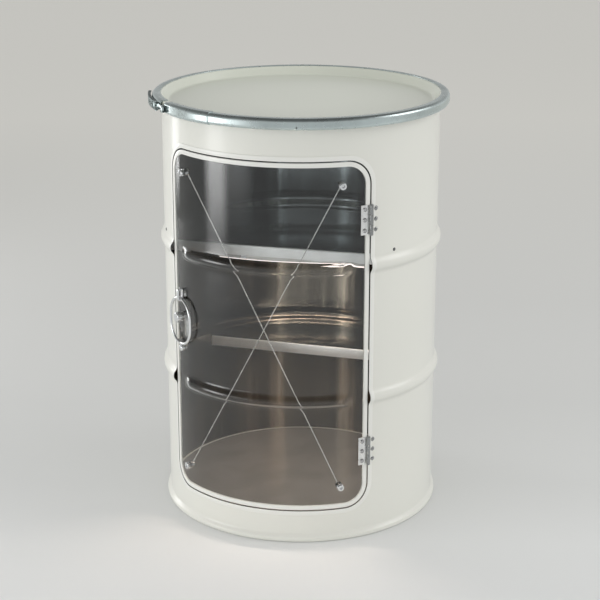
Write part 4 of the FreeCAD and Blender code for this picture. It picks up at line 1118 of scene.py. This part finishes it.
stud_section = [(r * MM, height * MM) for r, height in stud_socket] + [(3.2 * MM, stud_length)]
stud_section += arc((stud_head - stud_round, stud_length - stud_round), stud_round, 90, 0, 5)
stud_section += [(stud_head, 5.2 * MM)]
stud_section += [(r * MM, height * MM) for r, height in stud_groove]
stud_section += [(stud_head, 2.3 * MM), (stud_head, 0.6 * MM), (stud_head - 0.6 * MM, 0)]
stud_section += [(3 * MM, 0), (3 * MM, -3 * MM)]
stud_places = [(azimuth, z) for azimuth in stud_azimuths for z in stud_heights]
studs = turned_button("stud", stud_section)
studs = set_on_drum(studs, stud_places, drum_radius, "cross_studs")
finish(studs, chrome, "door", ["wire_studs"])
print("studs at azimuth and height", [(azimuth, round(z * 1000)) for azimuth, z in stud_places])

# %% [markdown]
# ## The pieces whose shape is ready
# What is left is small hardware, plus the plain pieces inside the drum. Their shape is right as built, so
# each becomes a merged copy with broken edges. The table gives each its finish and how wide the bevel is,
# in millimetres; sheet parts take a narrow one. The door leaves' knuckles are rolled round the pin, and the
# faces near its axis get the grey steel as a second finish, as painted shade on the rolled knuckle.

# %%  Remaining pieces
ready = {
    "drum_bottom": (floor_steel, 0),
    "lid_gasket": (seal_rubber, 0),
    "keeper": (bright_steel, 0.2),
    "keeper_rivets": (drum_enamel, 0.2),
    "hole_plugs": (dark_steel, 0.2),
    "bracket_rivets": (drum_enamel, 0.2),
    "top_shelf_brackets": (shelf_steel, 0.2),
    "middle_shelf_brackets": (shelf_steel, 0.2),
    "led_channel": (aluminium, 0.2),
    "led_diffuser": (lamp_milk, 0),
    "led_end_caps": (trim_enamel, 0.3),
    "led_clips": (bright_steel, 0.1),
    "hinge_body_leaves": (grey_steel, 0.25),
    "hinge_door_leaves": (leaf_steel, 0.25),
    "hinge_pins": (grey_steel, 0.3),
    "stud_nuts": (bright_steel, 0.4),
    "cross_wire_a": (wire_steel, 0),
    "cross_wire_b": (wire_steel, 0),
    "handle_eye": (chrome, 0.9),
    "handle_rest": (chrome, 0.3),
    "handle_nuts": (bright_steel, 0.3),
    "knob_bush": (chrome, 0.5),
    "latch_knob": (chrome, 0.3),
    "latch_tongue": (bright_steel, 0.4),
    "lever": (worn_zinc, 0.3),
    "toggle_pin": (zinc, 0.2),
    "lever_lug": (worn_zinc, 0.3),
    "link_lug": (worn_zinc, 0.3),
    "lever_pins": (zinc, 0.3),
    "link_pin": (zinc, 0.3),
    "link": (zinc, 0.3),
}
pin_radius = 292.1 * MM
pin_axis = on_drum(pin_radius, window_half_degrees, 0).xy
knuckle_reach = 4.2 * MM


def on_shaded_knuckle(face):
    return (face.calc_center_median().xy - pin_axis).length < knuckle_reach


for node, (material, edge) in ready.items():
    piece = finished_copy(node, edge * MM)
    piece.data.materials.append(material)
# painted shade: the knuckle faces of the bright door leaves get grey steel
paint_faces(bpy.data.objects["hinge_door_leaves_finished"], grey_steel, on_shaded_knuckle)
left = [name for name, obj in frame["nodes"].items() if not obj.hide_render]
print("finished copies:", len(ready), "- nodes still shown as built:", left)

# %% [markdown]
# ## Studio floor
# The photograph was taken in a pale studio, on a seamless floor that runs up out of the frame. Light is
# painted into the floor's tone: it is a little brighter round the foot of the drum than near the camera, so
# its tone changes along the line to the camera, and its colour goes from warm at the back to cool in front.

# %%  Floor
floor_reach = (-4.0, 2.2)
# painted light: floor tones, brightest just in front of the drum's foot
painted_floor_light = [(0.0, 0.75), (0.435, 0.65), (0.565, 0.655), (0.645, 0.70), (0.694, 0.77), (0.732, 0.77),
               (0.806, 0.74), (1.0, 0.72)]


def studio_floor():
    deselect()
    bpy.ops.mesh.primitive_plane_add(size=60)
    floor = bpy.context.object
    floor.name = "studio_floor"
    material, tree, shader = new_material("studio_floor", (0.6, 0.6, 0.58), 0.9)
    feeds = {0: object_place(tree), 1: on_drum(1, camera_azimuth, 0)}
    along = add_node(tree, "VectorMath", feeds, operation="DOT_PRODUCT").outputs["Value"]
    stops = [(at, (tone * (1.01 - 0.03 * at), tone, tone * (0.955 + 0.06 * at)))
             for at, tone in painted_floor_light]
    colour = ramp(tree, spread(tree, along, 0, 1, floor_reach), stops)
    feed(tree, shader, {"Base Color": colour, "Specular IOR Level": 0.1})
    floor.data.materials.append(material)


studio_floor()
print("floor with", len(painted_floor_light), "tones towards the camera")

# %% [markdown]
# ## Lamps
# A low bright card at the left gives the soft column on the drum, and a fainter and wider one beside it
# the light lower line on the ring. A higher soft light stands at the right, and a narrow card beside the
# drum shows in the edge of the door sheet. The clear sheet mirrors each lamp sharply, so a lamp fades
# towards its edges instead of ending in a line. Under the bar shelf a small warm light helps the lamp
# strip to light the compartment.

# %%  Lamps
def fade_edges(light, share=0.4):
    """Let a lamp fade over a share of its width and height at each edge, as cloth over a frame does."""
    light.data.use_nodes = True
    tree = light.data.node_tree
    place = add_node(tree, "NewGeometry").outputs["Parametric"]
    fades = {}
    for i, across in enumerate(add_node(tree, "SeparateXYZ", {0: place}).outputs[:2]):
        fades[i] = ramp(tree, across, greys([(0, 0), (share, 1), (1 - share, 1), (1, 0)]))
        fades[i].node.color_ramp.interpolation = "EASE"
    strength = add_node(tree, "Math", fades, operation="MULTIPLY").outputs[0]
    feed(tree, tree.nodes["Emission"], {"Strength": strength})


def softbox(name, azimuth, elevation, distance, width, height, power, aim=0.5):
    """Large area light that looks at the drum's axis, at the height of its aim."""
    target = Vector((0, 0, aim))
    flat = on_drum(math.cos(math.radians(elevation)), azimuth, math.sin(math.radians(elevation)))
    bpy.ops.object.light_add(type="AREA", location=target + flat * distance)
    light = bpy.context.object
    light.name = name
    light.rotation_euler = (-flat).to_track_quat("-Z", "Y").to_euler()
    light.data.shape = "RECTANGLE"
    light.data.size = width
    light.data.size_y = height
    light.data.energy = power
    return light


fade_edges(softbox("card_left", -52, 0, 2.4, 1.2, 1.2, 20, 0.46))
fade_edges(softbox("card_ring", -34, 0, 2.4, 1.6, 0.9, 4.5, 0.46))
fade_edges(softbox("softbox_right", 107, 32, 3.4, 2.8, 2.4, 61))
fade_edges(softbox("card_edge", -103, 0, 2.6, 0.65, 1.7, 15, 0.85), 0.2)
glow = softbox("bar_glow", 0, 0, 0.04, 0.31, 0.008, 0.9, 0)
glow.location = middle("led_diffuser") - Vector((0, 0, 9 * MM))
glow.rotation_euler = (0, 0, math.radians(bar_turn))
glow.data.color = (1.0, 0.86, 0.74)

# %% [markdown]
# ## World
# Even light comes from all round, a little more from low down. What mirrors upwards finds a dark
# ceiling, which draws the dark upper line along the ring, so the world shows mirror rays a darker top
# than it lights with. The camera itself sees a plain grey as pale as the floor's far end, so that no
# horizon shows in a low view.

# %%  World
def sky(tree, height, tones):
    """Background whose tone changes with the height that a ray looks at."""
    stops = [(at, (tone, tone, tone * 0.985)) for at, tone in tones]
    return add_node(tree, "Background", {"Color": ramp(tree, height, stops)}).outputs[0]


def studio_world():
    world = bpy.data.worlds.new("studio_world")
    bpy.context.scene.world = world
    world.use_nodes = True
    tree = world.node_tree
    place = add_node(tree, "TexCoord").outputs["Generated"]
    height = add_node(tree, "SeparateXYZ", {"Vector": place}).outputs["Z"]
    lit = sky(tree, height, [(0.0, 1.18), (0.3, 0.95), (0.6, 0.72), (1.0, 0.60)])
    mirrored = sky(tree, height, [(0.0, 0.66), (0.2, 0.52), (0.45, 0.30), (0.7, 0.14), (0.95, 0.10)])
    seen = add_node(tree, "Background", {"Color": (0.545, 0.545, 0.525, 1)}).outputs[0]
    rays = add_node(tree, "LightPath").outputs
    mirror_rays = {0: rays["Is Glossy Ray"], 1: rays["Is Transmission Ray"]}
    either = add_node(tree, "Math", mirror_rays, operation="MAXIMUM").outputs[0]
    mixed = add_node(tree, "MixShader", {0: either, 1: lit, 2: mirrored}).outputs[0]
    shown = add_node(tree, "MixShader", {0: rays["Is Camera Ray"], 1: mixed, 2: seen}).outputs[0]
    feed(tree, tree.nodes["World Output"], {"Surface": shown})


studio_world()
bpy.context.scene.view_settings.view_transform = "Standard"
print("world:", bpy.context.scene.world.name)
